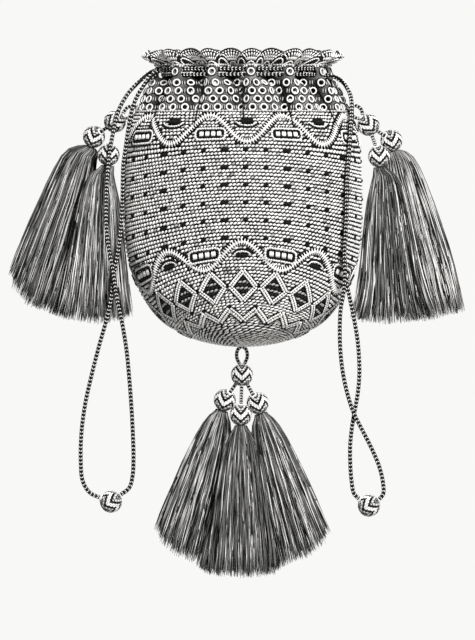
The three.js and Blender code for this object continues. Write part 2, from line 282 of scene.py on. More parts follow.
# Rows along the frill: share of its height below its edge, stitch
FRILL_ROWS = (
    (0, Stitch(1.1, (0.7, 0.4, 0.55), BLACK, -0.55, 0.02)),
    (0.1, Stitch(1.3, (0.5, 0.46, 0.75), 1, -0.55, 0.02)),
    (0.17, Stitch(1.1, (0.7, 0.22, 0.5), BLACK, -0.55, 0.02)),
    (0.97, Stitch(1.7, (0.9, 0.5, 0.7), 0.03, -0.55, 0.02)),
)

# Worked cords, and shares of the radius for their core and stitches, and of half a turn between a pair
DRAWCORD_WORK = CordWork(DRAWCORD_DIAMETER / 2, 1.7, (0.55, 0.22, 0.24), 0.97, 0.65)
STEM_WORK = CordWork(STEM_DIAMETER / 2, 1.35, (0.48, 0.22, 0.22), 0.95, 0.75)
CORD_CORE = 0.86
CORD_SEAT = 0.88
CORD_PAIR = 0.15
CORD_SIDES = 8
CORD_CORE_TONE = 0.015
CORD_SPREAD = 0.08

# Drawcords, from the ball up, once round the mouth and down to the ball again
DRAWCORDS = (
    {
        "name": "left",
        "level": 1.25,
        "from_turn": -69,
        "to_turn": 261,
        "ball": (-59.3, -17, -193.2),
        "rising": (
            (-64.5, -17, -191.3),
            (-68.8, -17, -189.2),
            (-72, -17, -184),
            (-72.9, -17, -175),
            (-72.6, -17, -162.5),
            (-71, -17, -149.9),
            (-68.4, -17, -137.9),
            (-64.7, -17, -123.3),
            (-61.5, -17, -112),
            (-59.3, -16.8, -102),
            (-57.9, -16.2, -91),
            (-56, -15.6, -80),
            (-54.9, -15, -71),
            (-54.2, -14.5, -57.6),
            (-53.8, -14, -42),
            (-52.7, -13.6, -33.8),
            (-51.5, -13.2, -25.5),
            (-50.2, -12.4, -18.3),
            (-48.4, -11.4, -12.8),
            (-46, -10.4, -8.2),
            (-43, -9.2, -4),
            (-39.4, -8.4, -0.4),
        ),
        "falling": (
            (-40, 2.2, 0.6),
            (-43.8, 0.9, -1.8),
            (-47.6, -1, -5.2),
            (-51.2, -2.8, -9),
            (-54.6, -4.8, -14.4),
            (-56.6, -6.2, -19),
            (-58, -7.6, -25.2),
            (-59.2, -9.4, -31.5),
            (-60.2, -11.2, -38.4),
            (-61, -13, -47),
            (-61.5, -15, -58),
            (-61.4, -16.6, -70),
            (-60.2, -17.8, -80),
            (-58.3, -18.8, -90),
            (-57, -19, -100),
            (-54.4, -18.4, -112.5),
            (-52.4, -17.6, -124.7),
            (-51.1, -17.2, -137.9),
            (-50.2, -17, -149.9),
            (-49.5, -17, -162.5),
            (-49.2, -17, -173.9),
            (-49.6, -17, -181.4),
            (-51.1, -17, -187),
            (-54.9, -17, -190),
        ),
    },
    {
        "name": "right",
        "level": -1.25,
        "from_turn": 111,
        "to_turn": 441,
        "ball": (56.5, -24.5, -194.9),
        "rising": (
            (52, -24.5, -191.8),
            (49.8, -24.5, -189.6),
            (48.7, -24.5, -184),
            (48.1, -24.5, -176.1),
            (48.1, -24.2, -167.5),
            (48.9, -23.8, -159.6),
            (50.1, -23.5, -152.4),
            (51.5, -23.3, -144.4),
            (52.2, -23.2, -135.8),
            (52, -23.2, -127.8),
            (51.2, -23.2, -119.3),
            (49.2, -23.2, -108),
            (47.6, -23.2, -100.5),
            (45.8, -23.2, -92),
            (45.5, -23.2, -82.4),
            (45.9, -23.1, -73.4),
            (46.4, -22.9, -63),
            (46.6, -22.5, -54.2),
            (46.9, -21.5, -46.2),
            (47.5, -20.1, -38.2),
            (48.1, -18.3, -30.4),
            (48.8, -13.4, -22),
            (48.9, -8.8, -15.2),
            (48.4, -5.2, -11.1),
            (47, -1.6, -7.4),
            (45, 2, -4.4),
            (42.2, 5.4, -2.4),
            (38.8, 7.8, -1.6),
        ),
        "falling": (
            (39, -2.2, -1.5),
            (42.2, -3, -2.7),
            (44.8, -5.2, -4.6),
            (47, -8.4, -7.6),
            (48.4, -11.4, -11.1),
            (48.8, -14.2, -15.2),
            (48.5, -18, -22),
            (48, -21.2, -30.4),
            (47.4, -23, -38.2),
            (46.8, -24.3, -46.2),
            (46.5, -25.3, -54.2),
            (46.4, -25.7, -63),
            (45.9, -25.9, -73.4),
            (45.5, -25.9, -82.4),
            (45.7, -25.9, -92),
            (44.9, -25.9, -100.5),
            (43.8, -25.9, -106.6),
            (43.4, -25.9, -119),
            (44.2, -25.9, -131.1),
            (45.9, -26, -141),
            (48.5, -26.3, -150.3),
            (50.2, -26.4, -154.6),
            (53.8, -26, -161.6),
            (57.8, -25.4, -169.5),
            (61.1, -24.8, -177.4),
            (62.7, -24.5, -184),
            (62.9, -24.5, -189.8),
            (61.1, -24.5, -192),
        ),
    },
)

# Covered balls: zigzags to a round, their reach, height of a row of stitches, tones from the middle row out
ZIGZAGS = 4
ZIGZAG_REACH = 2
BALL_ROW = 0.8
BALL_ROWS = (1, 1, 0.01, 0.01, 0.65, 0.7, 0.02, 0.3)
BALL_STITCH = Stitch(1.5, (0.84, 0.44, 0.34), 1, 0)

# How deep their moulds and covers lie, and the eyelet for a cord, with a black grain in it as painted shade
# of the hole
MOULD_DEPTH = 0.5
MOULD_TONE = 0.05
COVER_DEPTH = 0.3
BALL_EYELET = (1.35, 1.35, 2)
BALL_HOLE = (1.05, 1.05, 0.3)
BALL_HOLE_DEPTH = 0.15

# Loops and stems: how far from a ball's middle they start, lean of the holes to the front, form of a loop
STEM_SEAT = BALL_RADIUS - 0.4
STEM_HOLE = (0, -0.4, 0)
LOOP_SPREAD = 2.4
LOOP_SINK = 0.8
LOOP_SHAPE = ((0.05, -0.5), (0.45, -1), (0.85, -0.75), (1, 0), (0.85, 0.75), (0.45, 1), (0.05, 0.5))

# Tassel groups: ball, where its loop is sewn, and its hangs
# Hangs: ball, foot, half width, half depth, opening, bow, flare of the hem, its rise to the left and right,
# share of light floss
TASSEL_GROUPS = (
    (
        "left",
        (-57.6, 0, -22.3),
        (-48.1, 0, -16.4),
        (
            ("outer", (-67.1, 4, -29.1), (-95.4, 8.5, -105.3), 15, 7, 0.27, -2.8, 0, (0.125, 0), 0.13),
            ("inner", (-60.5, -4, -37.3), (-66.5, -6.5, -113), 16, 7, 0.4, -3, 0.15, (0.02, 0.06), 0.28),
        ),
    ),
    (
        "right",
        (56.4, 0, -23.8),
        (48.9, 0, -15.8),
        (
            ("outer", (66.8, 4, -30.8), (87.3, 8.5, -110.7), 14.6, 7, 0.27, 1, -0.12, (0.02, 0), 0.5),
            ("inner", (61.2, -4, -38), (67.9, -6.5, -113), 16.5, 7, 0.4, 2.4, 0.32, (0.05, 0.02), 0.19),
        ),
    ),
    (
        "bottom",
        (-0.5, -0.5, -136.3),
        (-0.5, 0, -123.8),
        (
            ("left", (-8.2, 1.5, -147.6), (-28.4, 7, -217.8), 15.4, 8, 0.4, 0, 0, (0.115, -0.06), 0.3),
            ("centre", (-1, -4.5, -154.2), (-0.9, -9.5, -227), 15.4, 8, 0.4, 0, 0, (0.015, 0.015), 0.1),
            ("right", (6.6, 1.5, -149), (27, 7, -218.7), 15.4, 8, 0.4, 0, 0.1, (-0.04, 0.11), 0.25),
        ),
    ),
)

# Form of a tassel: its neck, bow, flare, locks, and the core inside the floss, black as painted shade
TASSEL_TOP = BALL_RADIUS - 0.2
NECK_SPREAD = 0.17
BOW_RUN = 0.08
FLARE_POWER = 6
LOCKS = 8
LOCK_GROOVE = 0.13
CORE_DROP = 0.93
CORE_SHARE = 0.78

# Strands of floss: drops of their rings, taper, share of the width, trim at the hem, and how they stray
TASSEL_STRANDS = 600
STRAND_DROPS = (0, 0.02, 0.06, 0.13, 0.23, 0.35, 0.48, 0.61, 0.74, 0.87, 1)
STRAND_RADIUS = 0.27
STRAND_TAPER = ((0, 0.1, 0.85, 1), (0.6, 1, 1, 0.3))
STRAND_SHARES = (0.8, 1.02)
STRAND_TRIM = (-0.05, 0.005)
STRAND_DRIFT = 0.04
STRAND_WANDER = 0.3
STRAND_STRAY = 0.2

# Tones of dark, middling and light floss, strands to a wisp, floss out of its wisp, shade under the ball
STRAND_TONES = (0.01, 0.2, 0.95)
STRAND_TONE_SPREAD = (0.7, 1.2)
WISP_STRANDS = 7
MIDDLING_WISPS = 0.68
STRAY_FLOSS = 0.25
STRAY_KINDS = (0.6, 0.25, 0.15)
NECK_SHADE = ((0, 0.3), (0.5, 1))

# Stage, in metres. Lights: place, size, power in watts
CAMERA_PLACE = (-0.0025, -9.0, -0.1116)
CAMERA_FILM = 36
CAMERA_LENS = 1125
FLOOR_RADIUS = 1.1
FLOOR_HEIGHT = -0.4
WORLD_LIGHT = 0.08
LIGHT_AIM = (0, 0, -0.1)
LIGHTS = {
    "key": ((0.4, -1.28, 0.9), 0.4, 49),
    "fill": ((0.4, -1.2, -0.36), 0.4, 4),
    "rim": ((-0.05, 1.35, 0.8), 0.5, 34),
}


# Lines and shared forms

def smooth_line(points, steps):
    """Points of the smooth line that runs through the given ones"""
    knots = np.array(points, float)
    knots = np.vstack([2 * knots[0] - knots[1], knots, 2 * knots[-1] - knots[-2]])
    spans = np.sqrt(np.linalg.norm(np.diff(knots, axis=0), axis=1))
    share = np.linspace(0, 1, steps, endpoint=False)[:, None]
    rows = []
    for i in range(1, len(knots) - 2):
        before, here, after = spans[i - 1 : i + 2]
        a, b, c, d = knots[i - 1 : i + 3]
        leave = here * ((b - a) / before - (c - a) / (before + here) + (c - b) / here)
        reach = here * ((c - b) / here - (d - b) / (here + after) + (d - c) / after)
        square = 3 * (c - b) - 2 * leave - reach
        cube = 2 * (b - c) + leave + reach
        rows.append(b + share * leave + share**2 * square + share**3 * cube)
    return np.vstack([*rows, knots[-2:-1]])


def lengths_along(line):
    return np.concatenate([[0], np.cumsum(np.linalg.norm(np.diff(line, axis=0), axis=1))])


def rows_at(at, along, rows):
    """Rows of coordinates read at distances along a line"""
    return np.stack([np.interp(at, along, rows[:, i]) for i in range(3)], 1)


def even_line(line, spacing):
    """The same line with its points about as far apart as the spacing"""
    along = lengths_along(line)
    at = np.linspace(0, along[-1], max(2, int(round(along[-1] / spacing)) + 1))
    return rows_at(at, along, line)


def spaced_at(along, count):
    """Distances at which so many stitches lie evenly along a line"""
    return (np.arange(count) + 0.5) * along[-1] / count


def full_turn(steps):
    return np.linspace(0, FULL_TURN, steps + 1)


def eased(share):
    """A share from 0 to 1 that starts and ends gently"""
    return share**2 * (3 - 2 * share)


def unit(vectors):
    return vectors / np.linalg.norm(vectors, axis=-1, keepdims=True)


PROFILE = smooth_line(SECTIONS, 60)
PROFILE_ALONG = lengths_along(PROFILE[:, (0, 2)])
RIM_ALONG = np.interp(BODY_TOP, PROFILE[:, 2], PROFILE_ALONG)


def pleat_depth(height):
    return PLEAT_DEPTH * eased(np.clip((height - PLEAT_END) / (PLEAT_START - PLEAT_END), 0, 1))


def pleat_wave(turn, height):
    """Gathers that are even at the drawcords and fold over to one side below them"""
    phase = PLEATS * (turn - PLEAT_TURN)
    lean = FOLD_LEAN * np.clip((PLEAT_START - height) / FOLD_RUN, 0, 1)
    return pleat_depth(height) * np.cos(phase - lean * (1 - np.cos(phase)))


def oval_angle(turn):
    return turn - OVAL_SQUEEZE * np.sin(2 * turn)


def oval(turn, half_width, half_depth, height):
    angle = oval_angle(turn)
    return np.stack([half_width * np.sin(angle), -half_depth * np.cos(angle), height + 0 * turn], -1)


def gathered_wall(turn, along):
    """The outside of bag and band at a turn and a distance up its profile"""
    half_width, half_depth, height = (np.interp(along, PROFILE_ALONG, PROFILE[:, i]) for i in range(3))
    wave = pleat_wave(turn, height)
    return oval(turn, half_width + wave, half_depth + wave, height)


def bag_surface(turn, down):
    """The bag at a turn and a distance below its rim, along drooping rounds"""
    droop = np.interp(down, [row[0] for row in DROOP], [row[1] for row in DROOP])
    return gathered_wall(turn, np.maximum(RIM_ALONG - down - droop * np.sin(oval_angle(turn)) ** 2, 0.02))


def band_surface(turn, down):
    """The band at a turn and a distance below the level of the drawcords"""
    return gathered_wall(turn, np.interp(-down, PROFILE[:, 2], PROFILE_ALONG))


def scallop_edge(gather):
    """Height of the frill's edge above its base"""
    return SCALLOP_NOTCH + (SCALLOP_PEAK - SCALLOP_NOTCH) * np.sqrt(np.abs(gather))


def frill_surface(turn, down):
    """The frill at a turn and a share of its height down from its edge; past 1 it is the band's edge"""
    gather = np.cos(PLEATS * (turn - PLEAT_TURN))
    rise = (1 - down) * scallop_edge(gather)
    share = np.maximum(rise, 0) / SCALLOP_PEAK
    depth = FRILL_BASE_WAVE + (FRILL_EDGE_WAVE - FRILL_BASE_WAVE) * share
    depth = depth + (PLEAT_DEPTH - FRILL_BASE_WAVE) * np.clip(-rise, 0, 1)
    side = np.sin(turn) ** 8
    bulge = FRILL_FLARE * (FRILL_BULGE + SIDE_BULGE * side) * np.sin(math.pi * share)
    wave = gather * depth + FRILL_FLARE * share + bulge - SIDE_CURL * side * share**2
    neck = [np.interp(FRILL_BASE, PROFILE[:, 2], PROFILE[:, i]) for i in range(2)]
    return oval(turn, neck[0] + wave, neck[1] + wave, FRILL_BASE + rise)


def surface_frame(surface, turn, down):
    """Points of a surface with its directions along a round, up, and out"""
    turn_step = 0.001
    down_step = 0.01
    point = surface(turn, down)
    along = surface(turn + turn_step, down) - surface(turn - turn_step, down)
    up = surface(turn, down - down_step) - surface(turn, down + down_step)
    out = unit(np.cross(along, up))
    along = unit(along)
    return point, along, np.cross(out, along), out


def round_length(down):
    turn = full_turn(192)
    return lengths_along(bag_surface(turn, np.full_like(turn, down)))[-1]


GIRTH_DOWN = np.arange(0, BAG_DEPTH, 1.0)
GIRTHS = np.array([round_length(down) for down in GIRTH_DOWN])


def girth(down):
    return np.interp(down, GIRTH_DOWN, GIRTHS)


# Small threads, many to a mesh

def shape_of(bm, quad_method="BEAUTY"):
    """A small form as points and triangles that can be repeated"""
    bmesh.ops.triangulate(bm, faces=bm.faces[:], quad_method=quad_method)
    bm.verts.index_update()
    points = np.array([vert.co[:] for vert in bm.verts])
    faces = np.array([[vert.index for vert in face.verts] for face in bm.faces])
    bm.free()
    return points, faces


def grain_shape():
    bm = bmesh.new()
    bmesh.ops.create_icosphere(bm, subdivisions=1, radius=1)
    return shape_of(bm)


def ring_shape(thread):
    """A ring of unit radius with a thread of the given share of it"""
    bm = bmesh.new()
    bmesh.ops.create_circle(bm, segments=4, radius=thread)
    bmesh.ops.rotate(bm, verts=bm.verts[:], cent=(0, 0, 0), matrix=Matrix.Rotation(math.pi / 2, 3, "X"))
    bmesh.ops.translate(bm, verts=bm.verts[:], vec=(1, 0, 0))
    bmesh.ops.spin(
        bm,
        geom=bm.verts[:] + bm.edges[:],
        cent=(0, 0, 0),
        axis=(0, 0, 1),
        angle=FULL_TURN,
        steps=11,
        use_merge=True,
    )
    bmesh.ops.recalc_face_normals(bm, faces=bm.faces[:])
    return shape_of(bm)


GRAIN = grain_shape()
RING = ring_shape(0.26)
FINE_RING = ring_shape(0.12)


class Threads:
    """Collects stitches and walls into one mesh, each with its own tone"""

    def __init__(self):
        self.points = []
        self.faces = []
        self.tones = []
        self.count = 0

    def take(self, points, faces, tones):
        self.points.append(points)
        self.faces.append(faces + self.count)
        self.tones.append(np.broadcast_to(tones, len(points)))
        self.count += len(points)

    def repeat(self, points, faces, tones):
        """Copies of one shape, by the places and tones of all their corners"""
        copies, corners = points.shape[:2]
        shifts = np.arange(copies)[:, None, None] * corners
        self.take(points.reshape(-1, 3), (faces[None] + shifts).reshape(-1, 3), tones.ravel())

    def stamp(self, shape, centres, axes, sizes, tones):
        """Copies of one shape, each at its centre along its axes, with its size and tone"""
        corners, faces = shape
        copies = len(centres)
        sizes = np.broadcast_to(np.array(sizes, float), (copies, 3))
        tones = np.broadcast_to(np.array(tones, float), copies)
        points = centres[:, None] + np.einsum("kmi,kij->kmj", corners[None] * sizes[:, None], axes)
        self.repeat(points, faces, np.repeat(tones, len(corners)))

    def piece(self, name, material):
        mesh = bpy.data.meshes.new(name)
        points = np.vstack(self.points) * MM
        faces = np.vstack(self.faces)
        mesh.vertices.add(len(points))
        mesh.vertices.foreach_set("co", points.ravel())
        mesh.loops.add(faces.size)
        mesh.loops.foreach_set("vertex_index", faces.ravel().astype(np.int32))
        mesh.polygons.add(len(faces))
        mesh.polygons.foreach_set("loop_start", np.arange(0, faces.size, 3, dtype=np.int32))
        mesh.polygons.foreach_set("use_smooth", np.ones(len(faces), bool))
        mesh.update(calc_edges=True)
        keep_tones(mesh, np.concatenate(self.tones))
        return place(name, mesh, material)


def keep_tones(mesh, tones):
    """The tone of each point, for the silks to read"""
    tone = mesh.attributes.new("tone", "FLOAT", "POINT")
    tone.data.foreach_set("value", np.asarray(tones, np.float32))


def place(name, mesh, material):
    mesh.materials.append(material)
    obj = bpy.data.objects.new(name, mesh)
    bpy.context.scene.collection.objects.link(obj)
    return obj


def cloth_mesh(name, bm):
    """A smooth mesh in metres from a form in millimetres"""
    bmesh.ops.scale(bm, vec=(MM, MM, MM), verts=bm.verts[:])
    for face in bm.faces:
        face.smooth = True
    mesh = bpy.data.meshes.new(name)
    bm.to_mesh(mesh)
    bm.free()
    return mesh


def cloth_wall(name, mesh, tones, outside, inside, thickness):
    """A wall of cloth with its own silk inside, from the mesh of its outside"""
    keep_tones(mesh, tones)
    mesh.materials.append(outside)
    piece = place(name, mesh, inside)
    wall = piece.modifiers.new("wall", "SOLIDIFY")
    wall.material_offset = 1
    wall.thickness = thickness * MM
    wall.offset = -1
    return piece


def uneven(tone, spread, count):
    return np.clip(tone + chance.uniform(-spread, spread, count), 0, 1)


def sew(threads, surface, turn, down, stitch, shift=0.0):
    """A row of stitches along a line drawn on a surface; shift moves it to the line's left"""
    line = surface(turn, down)
    along = lengths_along(line)
    count = max(1, int(round(along[-1] / stitch.pitch)))
    at = spaced_at(along, count)
    ahead = rows_at(at, along, np.gradient(line, axis=0))
    point, _, _, out = surface_frame(surface, np.interp(at, along, turn), np.interp(at, along, down))
    ahead = unit(ahead - out * np.sum(ahead * out, 1, keepdims=True))
    left = np.cross(out, ahead)
    axes = np.stack([ahead, left, out], 1)
    centres = point + left * shift + out * stitch.lift
    threads.stamp(GRAIN, centres, axes, stitch.size, uneven(stitch.tone, stitch.spread, count))


def wrapped(columns, rows, placed, closed_ends=False):
    """A grid whose points are placed by their two shares, with its seam and poles merged"""
    bm = bmesh.new()
    bmesh.ops.create_grid(bm, x_segments=columns, y_segments=rows, size=0.5)
    shares = np.array([vert.co[:2] for vert in bm.verts]) + 0.5
    for vert, point in zip(bm.verts, placed(shares[:, 0], shares[:, 1])):
        vert.co = point
    bmesh.ops.remove_doubles(bm, verts=bm.verts[:], dist=0.001)
    if closed_ends:
        bmesh.ops.holes_fill(bm, edges=[edge for edge in bm.edges if edge.is_boundary])
    bmesh.ops.recalc_face_normals(bm, faces=bm.faces[:])
    return bm


def line_frames(line, facing):
    """Directions along, across and out of a line, with its outside turned to where it faces"""
    ahead = unit(np.gradient(line, axis=0))
    out = unit(facing - ahead * np.sum(facing * ahead, 1, keepdims=True))
    return ahead, np.cross(out, ahead), out


def tube(line, across, out, radius, sides):
    """A round cord core along a line, closed at both ends"""
    steps = len(line) - 1

    def placed(around, share):
        at = np.rint(share * steps).astype(int)
        angle = FULL_TURN * around
        return line[at] + radius * (np.cos(angle)[:, None] * out[at] + np.sin(angle)[:, None] * across[at])

    return wrapped(sides, steps, placed, closed_ends=True)


# Silks

def silk_thread_group():
    """Colour, dullness and relief of silk thread, mottled along its length and with fine fibres"""
    group = bpy.data.node_groups.new("silk_thread", "ShaderNodeTree")
    face = group.interface
    for name, kind in (("Dark", "Color"), ("Light", "Color"), ("Tone", "Float"), ("Dullness", "Float")):
        face.new_socket(name=name, in_out="INPUT", socket_type=f"NodeSocket{kind}")
    for name, kind in (("Color", "Color"), ("Roughness", "Float"), ("Height", "Float")):
        face.new_socket(name=name, in_out="OUTPUT", socket_type=f"NodeSocket{kind}")

    nodes = group.nodes
    links = group.links
    given = nodes.new("NodeGroupInput")
    put = nodes.new("NodeGroupOutput")
    where = nodes.new("ShaderNodeTexCoord")

    def shading(scale, detail, roughness, darkest):
        """A noise, and the share of light that it leaves"""
        noise = nodes.new("ShaderNodeTexNoise")
        noise.inputs["Scale"].default_value = scale
        noise.inputs["Detail"].default_value = detail
        noise.inputs["Roughness"].default_value = roughness
        share = nodes.new("ShaderNodeMapRange")
        share.inputs["From Min"].default_value = 0.3
        share.inputs["From Max"].default_value = 0.7
        share.inputs["To Min"].default_value = darkest
        share.inputs["To Max"].default_value = 1.08
        links.new(where.outputs["Object"], noise.inputs["Vector"])
        links.new(noise.outputs["Fac"], share.inputs["Value"])
        return noise, share

    _, mottled = shading(300, 3, 0.5, 0.8)
    fibre, fibred = shading(3000, 4, 0.65, 0.88)
    pick = nodes.new("ShaderNodeMapRange")
    pick.inputs["From Min"].default_value = BLACK
    blend = nodes.new("ShaderNodeMix")
    blend.data_type = "RGBA"
    both = nodes.new("ShaderNodeMath")
    both.operation = "MULTIPLY"
    shaded = nodes.new("ShaderNodeMix")
    shaded.data_type = "RGBA"
    shaded.blend_type = "MULTIPLY"
    shaded.inputs["Factor"].default_value = 1
    dull = nodes.new("ShaderNodeMath")
    dull.operation = "MULTIPLY_ADD"
    dull.inputs[1].default_value = 0.25

    links.new(given.outputs["Tone"], pick.inputs["Value"])
    links.new(pick.outputs["Result"], blend.inputs["Factor"])
    links.new(given.outputs["Dark"], blend.inputs["A"])
    links.new(given.outputs["Light"], blend.inputs["B"])
    links.new(mottled.outputs["Result"], both.inputs[0])
    links.new(fibred.outputs["Result"], both.inputs[1])
    links.new(blend.outputs["Result"], shaded.inputs["A"])
    links.new(both.outputs["Value"], shaded.inputs["B"])
    links.new(fibre.outputs["Fac"], dull.inputs[0])
    links.new(given.outputs["Dullness"], dull.inputs[2])
    links.new(shaded.outputs["Result"], put.inputs["Color"])
    links.new(dull.outputs["Value"], put.inputs["Roughness"])
    links.new(fibre.outputs["Fac"], put.inputs["Height"])
    return group


SILK_THREAD = silk_thread_group()


def silk(name, dark, light, dullness, sheen, in_rounds=False):
    """A silk finish from a dark to a light thread, picked by the tone of each stitch or by even rounds"""
    material = bpy.data.materials.new(name)
    material.use_nodes = True
    nodes = material.node_tree.nodes
    links = material.node_tree.links
    shader = nodes["Principled BSDF"]
    shader.inputs["Sheen Weight"].default_value = sheen
    shader.inputs["Sheen Roughness"].default_value = 0.35
    shader.inputs["Specular IOR Level"].default_value = 0.12
    if in_rounds:
        where = nodes.new("ShaderNodeTexCoord")
        tone = nodes.new("ShaderNodeTexWave")
        tone.bands_direction = "Z"
        tone.inputs["Scale"].default_value = WAVE_SCALE / ROUND_HEIGHT
        tone.inputs["Distortion"].default_value = 2.5
        tone.inputs["Detail"].default_value = 3
        tone.inputs["Detail Scale"].default_value = 2
        links.new(where.outputs["Object"], tone.inputs["Vector"])
    else:
        tone = nodes.new("ShaderNodeAttribute")
        tone.attribute_name = "tone"
    thread = nodes.new("ShaderNodeGroup")
    thread.node_tree = SILK_THREAD
    thread.inputs["Dark"].default_value = (*dark, 1)
    thread.inputs["Light"].default_value = (*light, 1)
    thread.inputs["Dullness"].default_value = dullness
    relief = nodes.new("ShaderNodeBump")
    relief.inputs["Strength"].default_value = 0.15
    relief.inputs["Distance"].default_value = 0.0002
    links.new(tone.outputs["Fac"], thread.inputs["Tone"])
    links.new(thread.outputs["Color"], shader.inputs["Base Color"])
    links.new(thread.outputs["Roughness"], shader.inputs["Roughness"])
    links.new(thread.outputs["Height"], relief.inputs["Height"])
    links.new(relief.outputs["Normal"], shader.inputs["Normal"])
    return material


# Scale of a wave texture whose bands are one millimetre apart
WAVE_SCALE = math.pi / 10 / MM

# Silks: dark and light thread, dullness, sheen
BLACK_SILK = (0.004, 0.004, 0.0045)
BAG_SILK = silk("bag_silk", BLACK_SILK, (0.84, 0.83, 0.81), 0.42, 0.03)
OPENWORK_SILK = silk("openwork_silk", BLACK_SILK, (0.86, 0.85, 0.83), 0.42, 0.03)
FRILL_SILK = silk("frill_silk", BLACK_SILK, (0.88, 0.87, 0.85), 0.42, 0.03)
CORD_SILK = silk("cord_silk", BLACK_SILK, (0.86, 0.85, 0.83), 0.38, 0.03)
# Near-black silk for the inside of the band: painted shade seen through its eyelets
LINING_SILK = silk("lining_silk", BLACK_SILK, (0.05, 0.05, 0.05), 0.7, 0.05)
# The bag's silk darkened for its inside, as painted shade, in rounds with dark lines between them
INSIDE_SILK = silk("inside_silk", (0.03, 0.03, 0.03), (0.3, 0.295, 0.285), 0.6, 0.03, in_rounds=True)
BALL_SILK = silk("ball_silk", BLACK_SILK, (0.84, 0.83, 0.81), 0.38, 0.03)
TASSEL_SILK = silk("tassel_silk", BLACK_SILK, (0.78, 0.77, 0.75), 0.34, 0.05)


def belongs(piece, slot, *nodes):
    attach(piece, "root")
    if nodes:
        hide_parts(*nodes)
    return piece


# Camera at the picture's angle, and the stage

def photo_camera():
    data = bpy.data.cameras.new("photo_camera")
    data.sensor_width = CAMERA_FILM
    data.lens = CAMERA_LENS
    camera = bpy.data.objects.new("photo_camera", data)
    camera.location = CAMERA_PLACE
    camera.rotation_euler = (math.radians(90), 0, 0)
    bpy.context.scene.collection.objects.link(camera)
    bpy.context.scene.camera = camera


def soft_light(name, place_at, size, power):
    data = bpy.data.lights.new(name, "AREA")
    data.size = size
    data.energy = power
    light = bpy.data.objects.new(name, data)
    light.location = place_at
    aim = Vector(LIGHT_AIM) - Vector(place_at)
    light.rotation_euler = aim.to_track_quat("-Z", "Y").to_euler()
    bpy.context.scene.collection.objects.link(light)


def floor_finish():
    """A pale floor that is clear from below, so that the base can be seen"""
    material = bpy.data.materials.new("pale_floor")
    material.use_nodes = True
    nodes = material.node_tree.nodes
    links = material.node_tree.links
    shader = nodes["Principled BSDF"]
    shader.inputs["Base Color"].default_value = (0.36, 0.36, 0.355, 1)
    shader.inputs["Roughness"].default_value = 0.9
    side = nodes.new("ShaderNodeNewGeometry")
    clear = nodes.new("ShaderNodeBsdfTransparent")
    either = nodes.new("ShaderNodeMixShader")
    links.new(side.outputs["Backfacing"], either.inputs["Fac"])
    links.new(shader.outputs["BSDF"], either.inputs[1])
    links.new(clear.outputs["BSDF"], either.inputs[2])
    links.new(either.outputs["Shader"], nodes["Material Output"].inputs["Surface"])
    return material


def studio():
    """A pale floor, a plain backdrop that lights little, and soft lights"""
    bm = bmesh.new()
    bmesh.ops.create_circle(bm, cap_ends=True, segments=96, radius=FLOOR_RADIUS)
    bmesh.ops.translate(bm, verts=bm.verts[:], vec=(0, 0, FLOOR_HEIGHT))
    mesh = bpy.data.meshes.new("floor")
    bm.to_mesh(mesh)
    bm.free()
    place("floor", mesh, floor_finish())
    world = bpy.data.worlds.new("studio")
    world.use_nodes = True
    nodes = world.node_tree.nodes
    links = world.node_tree.links
    nodes["Background"].inputs["Color"].default_value = (1, 1, 1, 1)
    nodes["Background"].inputs["Strength"].default_value = WORLD_LIGHT
    backdrop = nodes.new("ShaderNodeBackground")
    backdrop.inputs["Color"].default_value = (0.94, 0.94, 0.93, 1)
    seen = nodes.new("ShaderNodeLightPath")
    either = nodes.new("ShaderNodeMixShader")
    links.new(seen.outputs["Is Camera Ray"], either.inputs["Fac"])
    links.new(nodes["Background"].outputs["Background"], either.inputs[1])
    links.new(backdrop.outputs["Background"], either.inputs[2])
    links.new(either.outputs["Shader"], nodes["World Output"].inputs["Surface"])
    scene = bpy.context.scene
    scene.world = world
    scene.view_settings.view_transform = "Standard"
    for name, light in LIGHTS.items():
        soft_light(name, *light)


# Cords, loops and stems

def worked_cord(threads, line, facing, work):
    """A cord core with a column of paired stitches in front and behind, leaning towards each other"""
    ahead, across, out = line_frames(line, facing)
    core = tube(line, across, out, work.radius * CORD_CORE, CORD_SIDES)
    threads.take(*shape_of(core), CORD_CORE_TONE)
    along = lengths_along(line)
    count = int(along[-1] / work.pitch)
    at = spaced_at(along, count)
    middle, ahead, across, out = (rows_at(at, along, rows) for rows in (line, ahead, across, out))
    ahead = unit(ahead)
    for column in range(2):
        for side in (-1, 1):
            angle = math.pi * (column + CORD_PAIR * side)
            away = unit(math.cos(angle) * out + math.sin(angle) * across)
            beside = np.cross(away, ahead)
            along_stitch = math.cos(work.lean) * ahead + side * math.sin(work.lean) * beside
            axes = np.stack([along_stitch, np.cross(away, along_stitch), away], 1)
            centres = middle + away * work.radius * CORD_SEAT
            threads.stamp(GRAIN, centres, axes, work.size, uneven(work.tone, CORD_SPREAD, count))


def drawcord_line(cord):
    """The whole of a drawcord, up from its ball, round the mouth inside the band, and down again"""
    turns = np.radians(np.arange(cord["from_turn"], cord["to_turn"] + 1, 15))
    half_width, half_depth = (np.interp(0, PROFILE[:, 2], PROFILE[:, i]) for i in range(2))
    inset = BAND_WALL / 2 - GAP
    mouth = oval(turns, half_width - inset, half_depth - inset, cord["level"])
    return smooth_line(np.vstack([cord["rising"], mouth, cord["falling"]]), 12)


def cord_facing(line):
    """Forwards where a cord hangs, and away from the mouth where it goes round it"""
    round_mouth = np.clip((line[:, 2:] + 10) / 8, 0, 1)
    away = unit(line * (1, 2, 0))
    return away * round_mouth + np.array([0, -1, 0]) * (1 - round_mouth)


def make_drawcords():
    for cord in DRAWCORDS:
        name = cord["name"]
        line = even_line(drawcord_line(cord), 1.5)
        threads = Threads()
        worked_cord(threads, line, cord_facing(line), DRAWCORD_WORK)
        piece = belongs(threads.piece(f"drawcord_{name}_silk", CORD_SILK), "cord_silk", f"drawcord_{name}")
        ball = make_ball(f"drawcord_ball_{name}", cord["ball"], (1, 0, 0.6), line[0] - cord["ball"])


